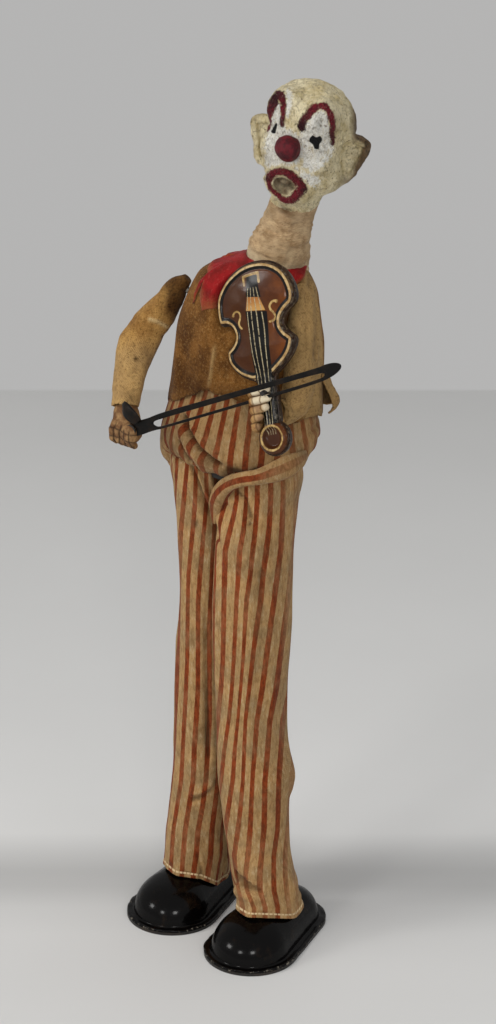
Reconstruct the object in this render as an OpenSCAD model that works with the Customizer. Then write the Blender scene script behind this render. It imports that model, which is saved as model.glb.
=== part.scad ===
// Clockwork clown fiddler: a tin clockwork in a cloth dressed body that sways on two wire legs.
// Millimetres. +Z up, the clown faces -Y, its left side is +X.
// The origin is on the floor between the two shoes.

/* [Stance] */
// Height of the sway pivot above the floor
hip_h = 128; // [115:1:150]
// Lean of the upper body at rest, in degrees toward the clown's left
lean = 5.5; // [0:0.5:7]
// Sway that is left past the rest lean, in degrees
sway_spare = 0.5; // [0.2:0.1:1]
// Half of the distance between the shoe centres
foot_half_gap = 14.35; // [13.8:0.05:18]
// Forward step of the clown's left shoe, and backward step of the right one
foot_step = 4; // [2:0.5:6]

/* [Shoes] */
// Radius of the round toe of a shoe's dome
toe_r = 10.7; // [9:0.1:12]
// Radius of the heel end of a shoe's dome
heel_r = 8.9; // [7.5:0.1:10]
// Distance between the toe and heel centres
shoe_reach = 19.5; // [15:0.5:26]
// Height of the shoe's dome over the sole
shoe_h = 10.6; // [9:0.1:14]
// Width of the crimped flange round the sole
flange_w = 1.9; // [1.2:0.1:2.4]
// Thickness of the painted tinplate
tin = 0.5; // [0.4:0.05:0.6]
// Thickness of the folded sole edge
sole_t = 0.8; // [0.6:0.1:1.2]

/* [Legs] */
// Radius of the leg wire
leg_wire_r = 1.2; // [0.9:0.1:1.5]
// Thickness of the trouser cloth with its padding
cloth_t = 0.9; // [0.7:0.1:1.2]
// Height of the trouser hem above the floor
hem_h = 9.2; // [8:0.2:14]
// Depth of the folds in the trouser legs
fold_depth = 0.45; // [0.1:0.05:0.6]

/* [Clockwork] */
// Clear distance between the two frame plates
plate_gap = 10; // [10:0.2:13]
// Thickness of the frame plates
plate_t = 0.6; // [0.5:0.05:0.9]
// Running clearance of a shaft in its bore, on the radius
fit = 0.05; // [0.03:0.01:0.08]
// Radius of the winding arbor
wind_r = 1.5; // [1.2:0.05:1.8]
// Radius of the second arbor, crank arbor and bow arm shaft
arbor_r = 0.9; // [0.7:0.05:1.1]
// Tooth module of the great wheel and its pinion
module_1 = 0.6; // [0.55:0.01:0.64]
// Tooth module of the second wheel and the crank pinion
module_2 = 0.5; // [0.45:0.01:0.53]
// Thickness of the wheels
wheel_t = 0.8; // [0.6:0.1:1.0]
// Turns of the mainspring
spring_turns = 6; // [4:1:7]
// Thickness of the mainspring strip
spring_t = 0.35; // [0.3:0.05:0.4]
// Width of the mainspring strip
spring_w = 4; // [3:0.2:4.2]
// Length of the winding key's wings, end to end
key_span = 20; // [16:0.5:24]
// Swing of the bow arm to each side, in degrees
arm_swing = 10; // [6:0.5:11]
// Distance of the sway link's anchor from the sway pivot
anchor_arm = 8; // [7:0.1:8.6]
// Radius of the sway pin
sway_pin_r = 1.0; // [0.8:0.05:1.2]

/* [Body] */
// Half width of the tin body
shell_hw = 16.2; // [16:0.1:20]
// Height of the shoulders above the sway pivot
shoulder_h = 55; // [54:0.5:62]
// Gap between cloth and tin
cloth_gap = 0.4; // [0.3:0.05:0.5]
// Thickness of the jacket cloth
jacket_t = 0.8; // [0.6:0.05:1.0]
// Thickness of the collar
collar_t = 0.6; // [0.4:0.05:0.8]

/* [Head] */
// Tilt of the neck against the body, in degrees
neck_lean = 11; // [6:0.5:12]
// Tilt of the head against the body, in degrees
head_roll = 5; // [0:0.5:8]
// Height of the head, chin to crown
head_h = 32; // [28:0.5:38]
// Width of the skull
head_w = 21; // [18:0.5:25]
// Depth of the skull, front to back
head_d = 24; // [21:0.5:28]
// Wall of the moulded head
head_wall = 1.6; // [1.2:0.1:2.2]
// Radius of the nose
nose_r = 3.1; // [2.4:0.1:3.6]
// Radius of the neck where it flares over the collar
neck_flare_r = 7.3; // [6:0.1:8]
// Radius of the neck at its waist
neck_r = 4.6; // [4:0.1:5.5]
// Radius of the neck post
post_r = 1.3; // [1:0.1:1.6]

/* [Fiddle and bow] */
// Length of the fiddle's body
fiddle_len = 29.5; // [27:0.5:32]
// Half width of the wide bout, beside the chin
bout_wide = 11.3; // [9.8:0.1:12.5]
// Half width of the narrow bout, beside the neck
bout_narrow = 9.7; // [8.5:0.1:10.5]
// Half width of the waist
bout_waist = 6.8; // [6:0.1:7.6]
// Depth of the fiddle's tray
fiddle_t = 3.4; // [2.6:0.1:4]
// Radius of the round scroll pan
scroll_r = 4.2; // [3.4:0.1:4.8]
// Length of the bow past the hand pivot
bow_len = 65; // [56:0.5:72]
// Width of the bow's middle
bow_w = 4.4; // [4:0.1:5.2]
// Width of the slot in the bow
bow_slot = 1.9; // [1.7:0.1:2.2]
// Thickness of the bow's tin
bow_t = 0.5; // [0.4:0.05:0.6]
// Slope of the bow at rest, in degrees
bow_slope = 29.7; // [26:0.1:33]
// Radius of the bow's pivot rivet
rivet_r = 0.8; // [0.6:0.05:0.9]

/* [Hidden] */
$fn = 48;

hip = [0.5, 4, hip_h];
air = 0.3;          // gap that opens a closed linkage, and clears soft solids
soft = 0.4;         // gap between soft solids that sway past each other
y_in = plate_gap / 2;
y_out = y_in + plate_t;
disc_t = 0.6;
pin_run = 1.2;
disc_y = y_out + 0.2;
pin_tip = disc_y + disc_t + pin_run;
lever_y = pin_tip + air;
lever_t = 0.6;
shell_hd = lever_y + lever_t + 1.0 + tin;
shell_side = shell_hw - shell_hd;

// Arbor places in the body's own frame, [x, z] from the sway pivot
teeth_great = 40;
teeth_second_pinion = 10;
teeth_second = 36;
teeth_crank_pinion = 9;
arbor_a = [0, 17];
dir_ab = 70;
dir_bc = 175;
reach_ab = module_1 * (teeth_great + teeth_second_pinion) / 2;
reach_bc = module_2 * (teeth_second + teeth_crank_pinion) / 2;
arbor_b = arbor_a + reach_ab * [cos(dir_ab), sin(dir_ab)];
arbor_c = arbor_b + reach_bc * [cos(dir_bc), sin(dir_bc)];
shaft_s = [-8, 44];
neck_pivot = [0, 40.5];
neck_y = 3;

// Bow crank and sway crank
sway_half = lean + sway_spare;
lever_vec = arbor_c - shaft_s;
lever_len = norm(lever_vec);
lever_dir = atan2(lever_vec[1], lever_vec[0]);
bow_throw = lever_len * sin(arm_swing);
sway_throw = anchor_arm * sin(sway_half);
link_lift = anchor_arm * sin(lean);
sway_phase = asin(link_lift / sway_throw);
pin_r = 0.6;

// Depths of the wheels between the plates
great_y = -1.8;
second_y = -3.4;
ratchet_y = -0.6;
ratchet_r = 3.6;
ratchet_teeth = 12;
pinion_lap = 0.3;

// Swinging parts that cloth has to clear
hand_pivot = [-20.5, 13.5];
split_r = 20.4;
neck_ball = 19.3;

// Cloth outlines: [height above the sway pivot, half width, half depth]
jacket_rings = [[15, 20.3, 13.7], [22, 20.5, 13.5], [30, 20.3, 13.2], [40, 19.4, 12.8],
    [46, 18, 11.9], [50, 16.9, 11.2], [53, 15.2, 10], [55, 12, 8], [57.2, 8.2, 6], [58.2, 5.5, 4.5]];
jacket_grow = [shell_hw - 16.2, shell_hd - 10, shoulder_h - 55];

function lerp(a, b, t) = a + (b - a) * t;
function flat(list) = [for (row = list) each row];
function unit(v) = v / norm(v);
function smooth(t) = t * t * (3 - 2 * t);
function seg(rows, z, i = 0) =
    i >= len(rows) - 2 || z <= rows[i + 1][0] ? i : seg(rows, z, i + 1);
// The row of a station table at height z
function station(rows, z) =
    let (i = seg(rows, z), a = rows[i], b = rows[i + 1], t = min(1, max(0, (z - a[0]) / (b[0] - a[0]))))
    lerp(a, b, t);

// Place things in the body's own frame, whose origin is the sway pivot
module on_body() translate(hip) rotate([0, lean, 0]) children();
// A flat piece in the x-z plane between two depths
module slab(y0, y1) translate([0, y1, 0]) rotate([90, 0, 0]) linear_extrude(y1 - y0) children();
// A round bar along y
module bar(p, r, y0, y1) translate([p[0], y1, p[1]]) rotate([90, 0, 0]) cylinder(r = r, h = y1 - y0);
module dot(p, r) translate(p) circle(r);
// A flat link with round ends
module link2d(p, q, w) {
    dot(p, w / 2);
    dot(q, w / 2);
    translate(p) rotate(atan2(q[1] - p[1], q[0] - p[0])) translate([0, -w / 2]) square([norm(q - p), w]);
}

// Triangles between two rings of points, numbered from a and b
function band(a, b, n) = [for (i = [0:n - 1]) let (j = (i + 1) % n)
    each [[a + i, b + i, b + j], [a + i, b + j, a + j]]];
// A closed solid through rings of points, with a point in the middle of each end
module loft(rings) {
    n = len(rings[0]);
    m = len(rings);
    low = m * n;
    mid = function (ring) [for (k = [0:2]) [for (p = ring) p[k]] * [for (p = ring) 1] / n];
    polyhedron(
        points = concat(flat(rings), [mid(rings[0]), mid(rings[m - 1])]),
        faces = concat(
            flat([for (j = [0:m - 2]) band(j * n, (j + 1) * n, n)]),
            [for (i = [0:n - 1]) [low, i, (i + 1) % n]],
            [for (i = [0:n - 1]) [low + 1, (m - 1) * n + (i + 1) % n, (m - 1) * n + i]]),
        convexity = 6);
}
// A tube with a thick wall, open at both ends, from outside rings and inside rings
module sleeve(outside, inside) {
    n = len(outside[0]);
    m = len(outside);
    k = len(inside);
    base = m * n;
    flip = function (faces) [for (f = faces) [f[2], f[1], f[0]]];
    polyhedron(
        points = concat(flat(outside), flat(inside)),
        faces = concat(
            flat([for (j = [0:m - 2]) band(j * n, (j + 1) * n, n)]),
            flip(flat([for (j = [0:k - 2]) band(base + j * n, base + (j + 1) * n, n)])),
            band(base, 0, n),
            band((m - 1) * n, base + (k - 1) * n, n)),
        convexity = 8);
}
// Rings of n points round a path, each with its own radius
function path_rings(path, radii, n) = [for (i = [0:len(path) - 1])
    let (
        t = unit(path[min(i + 1, len(path) - 1)] - path[max(i - 1, 0)]),
        e1 = unit(cross([0, 1, 0.01], t)),
        e2 = cross(t, e1))
    [for (k = [0:n - 1]) path[i] + radii[i] * (cos(k * 360 / n) * e1 + sin(k * 360 / n) * e2)]];

// Shoes

// Outline of a shoe, grown by g, toe at -Y
module shoe2d(g) {
    toe = -shoe_reach / 2;
    heel = shoe_reach / 2;
    tilt = asin((toe_r - heel_r) / shoe_reach);
    dot([0, toe], toe_r + g);
    dot([0, heel], heel_r + g);
    side = [cos(tilt), sin(tilt)];
    polygon([
        [side[0] * (toe_r + g), toe + side[1] * (toe_r + g)],
        [side[0] * (heel_r + g), heel + side[1] * (heel_r + g)],
        [-side[0] * (heel_r + g), heel + side[1] * (heel_r + g)],
        [-side[0] * (toe_r + g), toe + side[1] * (toe_r + g)]]);
}
// Rings of a shoe's dome, drawn in by d
function shoe_ring(d, z, n) = [for (i = [0:n - 1]) let (
        a = i * 360 / n,
        tilt = asin((toe_r - heel_r) / shoe_reach),
        at_toe = sin(a) < sin(tilt),
        r = (at_toe ? toe_r : heel_r) - d,
        c = at_toe ? -shoe_reach / 2 : shoe_reach / 2)
    [r * cos(a), c * max(0.15, 1 - d / heel_r * 0.6) + r * sin(a), z]];
shoe_steps = [[0, 0], [0.15, 0.25], [0.7, 0.5], [1.8, 0.7], [3.6, 0.86], [6, 0.97], [8.4, 1]];
module shoe_dome(inset) {
    loft([for (s = shoe_steps)
        shoe_ring(min(s[0] * heel_r / 9.8, heel_r - 1) + inset, sole_t + (shoe_h - sole_t - inset) * s[1], 32)]);
}
module shoe_upper() {
    difference() {
        union() {
            shoe_dome(0);
            translate([0, 0, sole_t]) linear_extrude(tin) shoe2d(flange_w);
        }
        translate([0, 0, -0.01]) shoe_dome(tin);
    }
}
module sole_plate() linear_extrude(sole_t) shoe2d(flange_w);
right_foot = [-foot_half_gap, foot_step, 0];
left_foot = [foot_half_gap, -foot_step, 0];
// Where the leg wires stand on the soles
right_ankle = [-foot_half_gap + 1.3, foot_step + 2.5, sole_t];
left_ankle = [foot_half_gap - 1, -foot_step + 1.5, sole_t];

module right_shoe_upper() color("#15130f") difference() {
    translate(right_foot) shoe_upper();
    wire_at(right_ankle, rod_top(-1)) cylinder(r = leg_wire_r + air, h = 2 * shoe_h);
}
module right_sole_plate() color("#2a2722") translate(right_foot) sole_plate();
module left_shoe_upper() color("#15130f") difference() {
    translate(left_foot) shoe_upper();
    wire_at(left_ankle, rod_top(1)) cylinder(r = leg_wire_r + air, h = 2 * shoe_h);
}
module left_sole_plate() color("#2a2722") translate(left_foot) sole_plate();

// Legs and hip

web_z = -8;
web_t = 0.8;
web_hw = 8;
ear_t = 0.6;
ear_y = y_in - air - ear_t;
rod_x = 6;
// The frame of a leg wire, whose z axis runs from the sole to the bracket's web
module wire_at(foot, top) {
    v = top - foot;
    translate(foot) rotate([0, acos(v[2] / norm(v)), atan2(v[1], v[0])]) children();
}
module leg_rod(foot, top) wire_at(foot, top) cylinder(r = leg_wire_r, h = norm(top - foot));
function rod_top(side) = hip + [side * rod_x, 0, web_z - web_t];
module right_leg_rod() color("#8d8a80") leg_rod(right_ankle + [0, 0, 0.1], rod_top(-1) - [0, 0, 0.1]);
module left_leg_rod() color("#8d8a80") leg_rod(left_ankle + [0, 0, 0.1], rod_top(1) - [0, 0, 0.1]);
// Collars that hold each wire to its sole and to the web
module rod_collar(foot, top, at, h) wire_at(foot, top) translate([0, 0, at]) difference() {
    cylinder(r = leg_wire_r + 0.9, h = h);
    translate([0, 0, -1]) cylinder(r = leg_wire_r + fit, h = h + 2);
}
module rod_collars() color("#6f6c63") for (s = [-1, 1]) {
    foot = s < 0 ? right_ankle : left_ankle;
    rod_collar(foot, rod_top(s), 0.6, 3);
    rod_collar(foot, rod_top(s), norm(rod_top(s) - foot) - 4.4, 4);
}
module hip_bracket() color("#b9a36a") translate(hip) difference() {
    union() {
        translate([-web_hw, -ear_y - ear_t, web_z - web_t])
            cube([2 * web_hw, 2 * (ear_y + ear_t), web_t]);
        for (s = [-1, 1]) slab(s < 0 ? -ear_y - ear_t : ear_y, s < 0 ? -ear_y : ear_y + ear_t) {
            dot([0, 0], 3);
            polygon([[-web_hw, web_z - web_t], [web_hw, web_z - web_t], [2.9, 0.7], [-2.9, 0.7]]);
        }
        translate([anchor_arm - 1.5, 0, web_z - web_t]) cube([3, disc_y + disc_t + 0.4, web_t]);
        slab(disc_y, disc_y + disc_t + 0.4) {
            translate([anchor_arm - 1.5, web_z - web_t]) square([3, -web_z + web_t]);
            dot([anchor_arm, 0], 1.5);
        }
        bar([anchor_arm, 0], pin_r, disc_y, pin_tip);
    }
    bar([0, 0], sway_pin_r + fit, -y_out, y_out);
}
module sway_pin() color("#8d8a80") on_body() {
    bar([0, 0], sway_pin_r, -y_out - 0.9, y_out + 0.9);
    bar([0, 0], sway_pin_r + 0.8, -y_out - 0.9, -y_out - 0.2);
    bar([0, 0], sway_pin_r + 0.8, y_out + 0.2, y_out + 0.9);
}

// Trousers: the legs stand on the shoes, the seat sways with the body.
// They part along a cylinder round the sway pivot.

// Leg stations: [height, centre x, centre y, half width, half depth]
left_leg_rows = [[9, 13.6, -3.4, 7.4, 8.3], [24, 9.8, -3.2, 7.4, 9], [45, 8.4, -2.5, 8.9, 10.4],
    [66, 7.4, -2.3, 8.6, 10.3], [90, 7.6, -2.2, 9.4, 11.6], [120, 8.4, -0.5, 9.6, 12.2]];
right_leg_rows = [[9, -12.8, 7, 7.4, 8], [24, -11.6, 6.6, 7.6, 9], [45, -9.2, 6.5, 8.4, 10.2],
    [66, -9, 6.3, 8.6, 10.2], [90, -7.6, 6.6, 9, 11], [120, -7.4, 6, 9.4, 12]];
leg_row_top = 128;
// The plane where the two trouser legs press together
function part_x(y) = 0.9 + 0.1 * (y - hip[1]);
function leg_point(rows, side, a, z, inset, fold) = let (
        s = station(rows, z * leg_row_top / hip_h),
        w = fold * (cos(5 * a + z * 1.7) + 0.6 * sin(8 * a - z * 2.3)),
        x = s[1] + (s[3] - inset + w) * cos(a),
        y = s[2] + (s[4] - inset + w) * sin(a),
        edge = part_x(y) + side * (0.2 + inset))
    [side > 0 ? max(x, edge) : min(x, edge), y];
function leg_top(x) = hip_h - sqrt(max(16, (split_r + soft) ^ 2 - (x - hip[0]) ^ 2));
function leg_ring(rows, side, t, inset, fold, n) = [for (i = [0:n - 1]) let (
        a = i * 360 / n,
        guess = leg_point(rows, side, a, lerp(hem_h, hip_h - split_r, t), inset, 0),
        z = lerp(hem_h + 0.25 * cos(a * 2), leg_top(guess[0]), t),
        p = leg_point(rows, side, a, z, inset, fold * min(1, 4 * t + 0.3)))
    [p[0], p[1], z]];
module trouser_leg(rows, side) {
    n = 36;
    steps = [0, 0.04, 0.09, 0.15, 0.22, 0.3, 0.38, 0.47, 0.56, 0.66, 0.76, 0.86, 0.94, 1];
    sleeve([for (t = steps) leg_ring(rows, side, t, 0, fold_depth, n)],
        [for (t = [0, 0.15, 0.3, 0.5, 0.75, 1]) leg_ring(rows, side, t, cloth_t, 0, n)]);
}
module right_trouser_leg() color("#c9a878") difference() {
    trouser_leg(right_leg_rows, -1);
    translate(right_foot) shoe_dome(-air);
}
module left_trouser_leg() color("#c9a878") difference() {
    trouser_leg(left_leg_rows, 1);
    translate(left_foot) shoe_dome(-air);
}

// Seat stations under the jacket, and how far the cloth puffs out below the jacket's hem
seat_rings = [[-20, 18.2, 12.4], [0, 18.9, 12.5], [18, 18.7, 12], [27, 18.6, 11.9]];
seat_puff = 1.5;
seat_top = 27;
function seat_low(x) = -sqrt(max(9, split_r ^ 2 - x ^ 2));
function seat_point(a, z, inset) = let (
        s = station(seat_rings, z),
        below = min(1, max(0, (hem_z(a) - 1.2 - z) / 5)),
        f = inset > 0 ? 0 : fold_depth * below * cos(9 * a + z * 3),
        g = seat_puff * smooth(below) - inset * (z > 10 ? 0.55 : 1) + f,
        w = s[1] + jacket_grow[0] + g,
        d = s[2] + jacket_grow[1] + g)
    [w * cos(a), d * sin(a)];
function seat_ring(t, inset, n) = [for (i = [0:n - 1]) let (
        a = i * 360 / n,
        edge = min(split_r - 0.6, shell_hw + 3.4),
        low = seat_low(min(edge, abs(seat_point(a, 0, inset)[0]))),
        z = lerp(low, seat_top, t),
        p = seat_point(a, z, inset),
        lim = sqrt(split_r ^ 2 - min(0, z) ^ 2),
        x = z < 0 ? max(-lim, min(lim, p[0])) : p[0])
    [x, p[1], z]];
key_bore = wind_r + 0.7;
module trouser_seat() color("#c9a878") on_body() difference() {
    sleeve([for (t = [0, 0.1, 0.2, 0.3, 0.4, 0.5, 0.58, 0.64, 0.69, 0.74, 0.8, 0.87, 1]) seat_ring(t, 0, 40)],
        [for (t = [0, 0.2, 0.4, 0.5, 0.6, 0.7, 0.8, 1]) seat_ring(t, cloth_t, 40)]);
    bar(arbor_a, key_bore, 5, 20);
}

// Clockwork frame

plate_hw = shell_hw - 3.2;
// The plates' side ears reach the wall of the tin body
ear_hw = shell_side + sqrt((shell_hd - tin) ^ 2 - y_out ^ 2) - 0.15;
plate_low = -4;
plate_high = 48;
waist_z = 36;
pillar_r = 1.1;
pillars = [[-plate_hw + 1.6, plate_low + 3], [plate_hw - 1.6, plate_low + 3],
    [-plate_hw + 1.6, 35], [plate_hw - 2, 41]];
module plate2d() difference() {
    union() {
        translate([-plate_hw, plate_low]) square([2 * plate_hw, waist_z - plate_low]);
        translate([-plate_hw + 2.2, waist_z - 1]) square([2 * plate_hw - 4.4, plate_high - waist_z + 1]);
        for (z = [3, 37]) translate([-ear_hw, z]) square([2 * ear_hw, 4]);
    }
    dot([0, 0], sway_pin_r + fit);
    dot(arbor_a, wind_r + fit);
    dot(arbor_b, arbor_r + fit);
    dot(arbor_c, arbor_r + fit);
    dot(shaft_s, arbor_r + fit);
    dot(neck_pivot, pin_r + fit);
    for (p = pillars) dot(p, pillar_r - 0.4);
}
module frame_front_plate() color("#b9a36a") on_body() slab(-y_out, -y_in) plate2d();
module frame_back_plate() color("#b9a36a") on_body() slab(y_in, y_out) difference() {
    plate2d();
    for (z = guide_z) dot([anchor_arm, z], guide_r);
}
module frame_pillars() color("#8d8a80") on_body() for (p = pillars) {
    bar(p, pillar_r, -y_in, y_in);
    bar(p, pillar_r - 0.4, -y_out - 0.3, y_out + 0.3);
}
spring_y = 0.4;
spring_in = wind_r + spring_t / 2 + 0.1;
spring_out = 10.3;
module mainspring() color("#5d6470") on_body() slab(spring_y, spring_y + spring_w) translate(arbor_a) {
    steps = spring_turns * 36;
    line = [for (i = [0:steps]) let (a = i * 10, r = lerp(spring_in, spring_out, i / steps)) [a, r]];
    polygon(concat(
        [for (p = line) (p[1] + spring_t / 2) * [cos(p[0]), sin(p[0])]],
        [for (i = [steps:-1:0]) let (p = line[i]) (p[1] - spring_t / 2) * [cos(p[0]), sin(p[0])]]));
    // the outer end reaches a lower pillar
    translate([spring_out - spring_t / 2, -17 + plate_low + 3.6]) square([spring_t, 17 - plate_low - 3.6]);
}

// Tin body of two halves

pod_top = shoulder_h - 1.5;
// Half of a profile turned about an upright axis at each side, and drawn out between them
module pod(inset, from, to) {
    r = shell_hd - inset;
    shoulder = shoulder_h - 13.5;
    side = [each [[0, from], [r, from], [r, shoulder]],
        each [for (a = [10:10:60]) [r - (1 - cos(a)) * r * 0.95, shoulder + (to - shoulder) * sin(a) / sin(60)]],
        [0, to]];
    for (s = [-1, 1]) translate([s * shell_side, 0, 0]) rotate_extrude($fn = 64) polygon(side);
    rotate([90, 0, 90]) translate([0, 0, -shell_side]) linear_extrude(2 * shell_side)
        polygon(concat(side, [for (i = [len(side) - 1:-1:0]) [-side[i][0], side[i][1]]]));
}
wire_slot = leg_wire_r + 1.7;
// Room for the neck post to tilt, and for the arm wire to swing
module neck_way() translate([-post_r - 0.7, neck_y - post_r - 0.7, shoulder_h - 9])
    cube([2 * post_r + 6, 2 * post_r + 1.4, 20]);
module wire_way() translate([-shell_hw - 5, -1.4, 45.3 - wire_slot]) cube([10, 2.8, 2 * wire_slot]);
module shell_half(side) difference() {
    pod(0, plate_low + 6, pod_top);
    pod(tin, plate_low - 1, pod_top - tin);
    translate([-50, side > 0 ? -50 : 0, -50]) cube([100, 50, 200]);
    neck_way();
    wire_way();
    if (side > 0) bar(arbor_a, key_bore, 5, 20);
    for (p = screws) bar(p, screw_r + fit, side > 0 ? 5 : -20, side > 0 ? 20 : -5);
    if (side < 0) bar(stud_at, stud_r + fit, -20, -5);
}
screw_r = 0.7;
spacer_r = 1.3;
screw_x = shell_side + 5.2;
screws = [for (x = [-screw_x, screw_x], z = [8, 31]) [x, z]];
stud_r = 0.9;
stud_at = [9, 46];
module body_front_shell() color("#9a8f78") on_body() shell_half(-1);
module body_back_shell() color("#9a8f78") on_body() shell_half(1);
// Screws that hold each half to the frame plate behind it, with a spacer round each
module shell_screws() color("#8d8a80") on_body() for (p = screws, s = [-1, 1]) {
    wall = sqrt(shell_hd ^ 2 - (abs(p[0]) - shell_side) ^ 2);
    room = sqrt((shell_hd - tin) ^ 2 - (screw_x + spacer_r - shell_side) ^ 2) - 0.05;
    bar(p, screw_r, s > 0 ? y_out : -wall - 0.2, s > 0 ? wall + 0.2 : -y_out);
    bar(p, spacer_r, s > 0 ? y_out : -room, s > 0 ? room : -y_out);
}
guide_r = 0.8;
guide_z = [8, 22];
link_y = lever_y;
link_t = lever_t;
module link_guides() color("#8d8a80") on_body() for (z = guide_z) {
    bar([anchor_arm, z], guide_r, y_in, link_y + link_t + 0.4);
    bar([anchor_arm, z], guide_r + 0.4, link_y + link_t + 0.1, link_y + link_t + 0.4);
}

// Jacket, tail and collar

// Lower edge of the jacket by angle: high at the front, lower at the sides and the back
function hem_z(a) = let (front = max(0, -sin(a))) 11 + 4 * (1 - smooth(abs(sin(a)))) * (cos(a) < 0 ? 1 : 0.3)
    + 13 * smooth(front) * (cos(a) < 0.2 ? 1 : 0.75);
function jacket_point(a, z, grow) = let (
        s = station(jacket_rings, z - max(0, jacket_grow[2]) * smooth(min(1, max(0, (z - 30) / 15)))),
        f = 0.25 * cos(6 * a + z * 2) * smooth(min(1, max(0, (50 - z) / 20))))
    [(s[1] + jacket_grow[0] + grow + f) * cos(a), (s[2] + jacket_grow[1] + grow + f) * sin(a)];
jacket_top = shoulder_h + 3.2;
function jacket_ring(t, grow, n, top = jacket_top) = [for (i = [0:n - 1]) let (
        a = i * 360 / n,
        z = lerp(hem_z(a), top, t),
        p = jacket_point(a, z, grow))
    [p[0], p[1], z]];
jacket_steps = [0, 0.08, 0.18, 0.3, 0.42, 0.54, 0.64, 0.72, 0.79, 0.85, 0.9, 0.94, 0.97, 1];
module jacket_form(grow) loft([for (t = jacket_steps) jacket_ring(t, grow, 40)]);
// What the swinging right sleeve sweeps out beside the shoulder
module arm_sweep() for (swing = [-arm_swing, 0, arm_swing])
    translate([shaft_s[0], 0, shaft_s[1]]) rotate([0, swing, 0]) translate([-shaft_s[0], 0, -shaft_s[1]])
        hull() {
            translate([-20.6, -1, 47]) sphere(r = 3.8, $fn = 14);
            translate([-24.2, -3, 38.5]) sphere(r = 5.4, $fn = 14);
        }
module jacket() color("#b08c58") on_body() difference() {
    sleeve([for (t = jacket_steps) jacket_ring(t, 0, 40)],
        [for (t = jacket_steps) [for (p = jacket_ring(t, -jacket_t, 40)) p - [0, 0, t * jacket_t * 0.8]]]);
    arm_sweep();
    neck_way();
    wire_way();
    bar(arbor_a, key_bore, 5, 20);
    bar(stud_at, stud_r + air, -20, -5);
    fiddle_room();
}
// A loose flap of the coat at the back, on the clown's left
module coat_tail() color("#b08c58") on_body() {
    n = 12;
    rows = [[25, 0.4, 0.5], [20, 1.2, 0.6], [15, 2.2, 0.6], [10.5, 2.8, 0.5], [8.5, 2.4, 0.4]];
    rings = [for (i = [len(rows) - 1:-1:0]) let (r = rows[i]) [for (k = [0:2 * n - 1]) let (
            out = k < n,
            u = (out ? k : 2 * n - 1 - k) / (n - 1),
            a = lerp(8, 62, u),
            lift = r[1] * (0.6 + 0.4 * sin(u * 360)) + 0.3 + (out ? r[2] : 0),
            p = jacket_point(a, max(16, r[0]), lift))
        [p[0], p[1], r[0] + 1.1 * sin(u * 540)]]];
    loft(rings);
}
function collar_z(a) = 46.5 + 2.6 * cos(a * 9) + 3 * max(0, sin(a)) + (jacket_top - 58.2);
function collar_ring(t, grow, n) = [for (i = [0:n - 1]) let (
        a = i * 360 / n,
        z = lerp(collar_z(a), shoulder_h, t),
        p = jacket_point(a, z, grow))
    [p[0], p[1], z]];
module collar() color("#a3272a") on_body() difference() {
    sleeve([for (t = [0, 0.25, 0.5, 0.75, 1]) collar_ring(t, air + collar_t, 60)],
        [for (t = [0, 0.25, 0.5, 0.75, 1]) collar_ring(t, air, 60)]);
    arm_sweep();
    bar(stud_at, stud_r + air, -20, -5);
    fiddle_room();
}

// Left arm, which does not move, and its hand under the fiddle's neck

left_path = [[13.5, -1.5, 55.5], [16.6, -4.6, 51], [18, -6.4, 44], [18.6, -7.4, 37], [18.9, -8.4, 31.4],
    [19.2, -10.6, 28], [18.6, -13, 26.6], [17.2, -15.3, 27]];
left_radii = [1.6, 3.3, 4, 4.1, 3.9, 3.5, 3.1, 2.7];
module left_sleeve() color("#b08c58") on_body() difference() {
    loft(path_rings(left_path, left_radii, 20));
    jacket_form(air);
    loft([for (t = [0, 0.25, 0.5, 0.75, 1]) [for (p = collar_ring(t, 3 * air + collar_t, 60)) p - [0, 0, (1 - t)]]]);
    before_fiddle(-fiddle_t / 2 - palm_t - 0.15);
    fiddle_room();
}

// The fiddle lies in its own frame: u across, v toward the chin, w toward the viewer from half its depth.
// The scroll stands forward of the chin end.
fiddle_at = [8.7, -14.2, 48.1];
fiddle_tilt = 24;
fiddle_pitch = 16;
neck_hw = 2;
scroll_at = [0, -fiddle_len / 2 - 13.95];
module fiddle_frame() translate(fiddle_at) rotate([0, -fiddle_tilt, 0]) rotate([90 - fiddle_pitch, 0, 0])
    translate([0, 0, -fiddle_t / 2]) children();
module on_fiddle() on_body() fiddle_frame() children();
// Room for the fiddle in the cloth behind it
module fiddle_room() fiddle_frame() translate([0, 0, -fiddle_t / 2 - air]) linear_extrude(12) fiddle2d(air);
// All that lies toward the viewer from the depth w, for trimming what meets the fiddle's back
module before_fiddle(w) fiddle_frame() translate([0, 0, w]) linear_extrude(12) square([60, 100], center = true);
module fiddle2d(g) {
    half = fiddle_len / 2;
    difference() {
        union() {
            dot([0, half - bout_wide], bout_wide + g);
            dot([0, -half + bout_narrow], bout_narrow + g);
            translate([-bout_waist - 1 - g, -half + bout_narrow]) square([2 * (bout_waist + 1 + g),
                fiddle_len - bout_narrow - bout_wide]);
        }
        for (s = [-1, 1]) dot([s * (bout_waist + 3.6), -2], 3.6 - g);
    }
    translate([-neck_hw - g, scroll_at[1]]) square([2 * (neck_hw + g), half]);
    dot(scroll_at, scroll_r + g);
}
module fiddle_top() color("#7a3a20") on_body() difference() {
    fiddle_frame() translate([0, 0, fiddle_t / 2 - tin]) linear_extrude(tin) fiddle2d(0);
    peg_hole();
}
module fiddle_back() color("#5a4636") on_body() difference() {
    fiddle_frame() translate([0, 0, -fiddle_t / 2]) linear_extrude(fiddle_t - tin) fiddle2d(0);
    fiddle_frame() translate([0, 0, tin - fiddle_t / 2]) linear_extrude(fiddle_t) difference() {
        fiddle2d(-tin);
        dot(boss_uv, peg_r + 1.3);
    }
    peg_hole();
}
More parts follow.
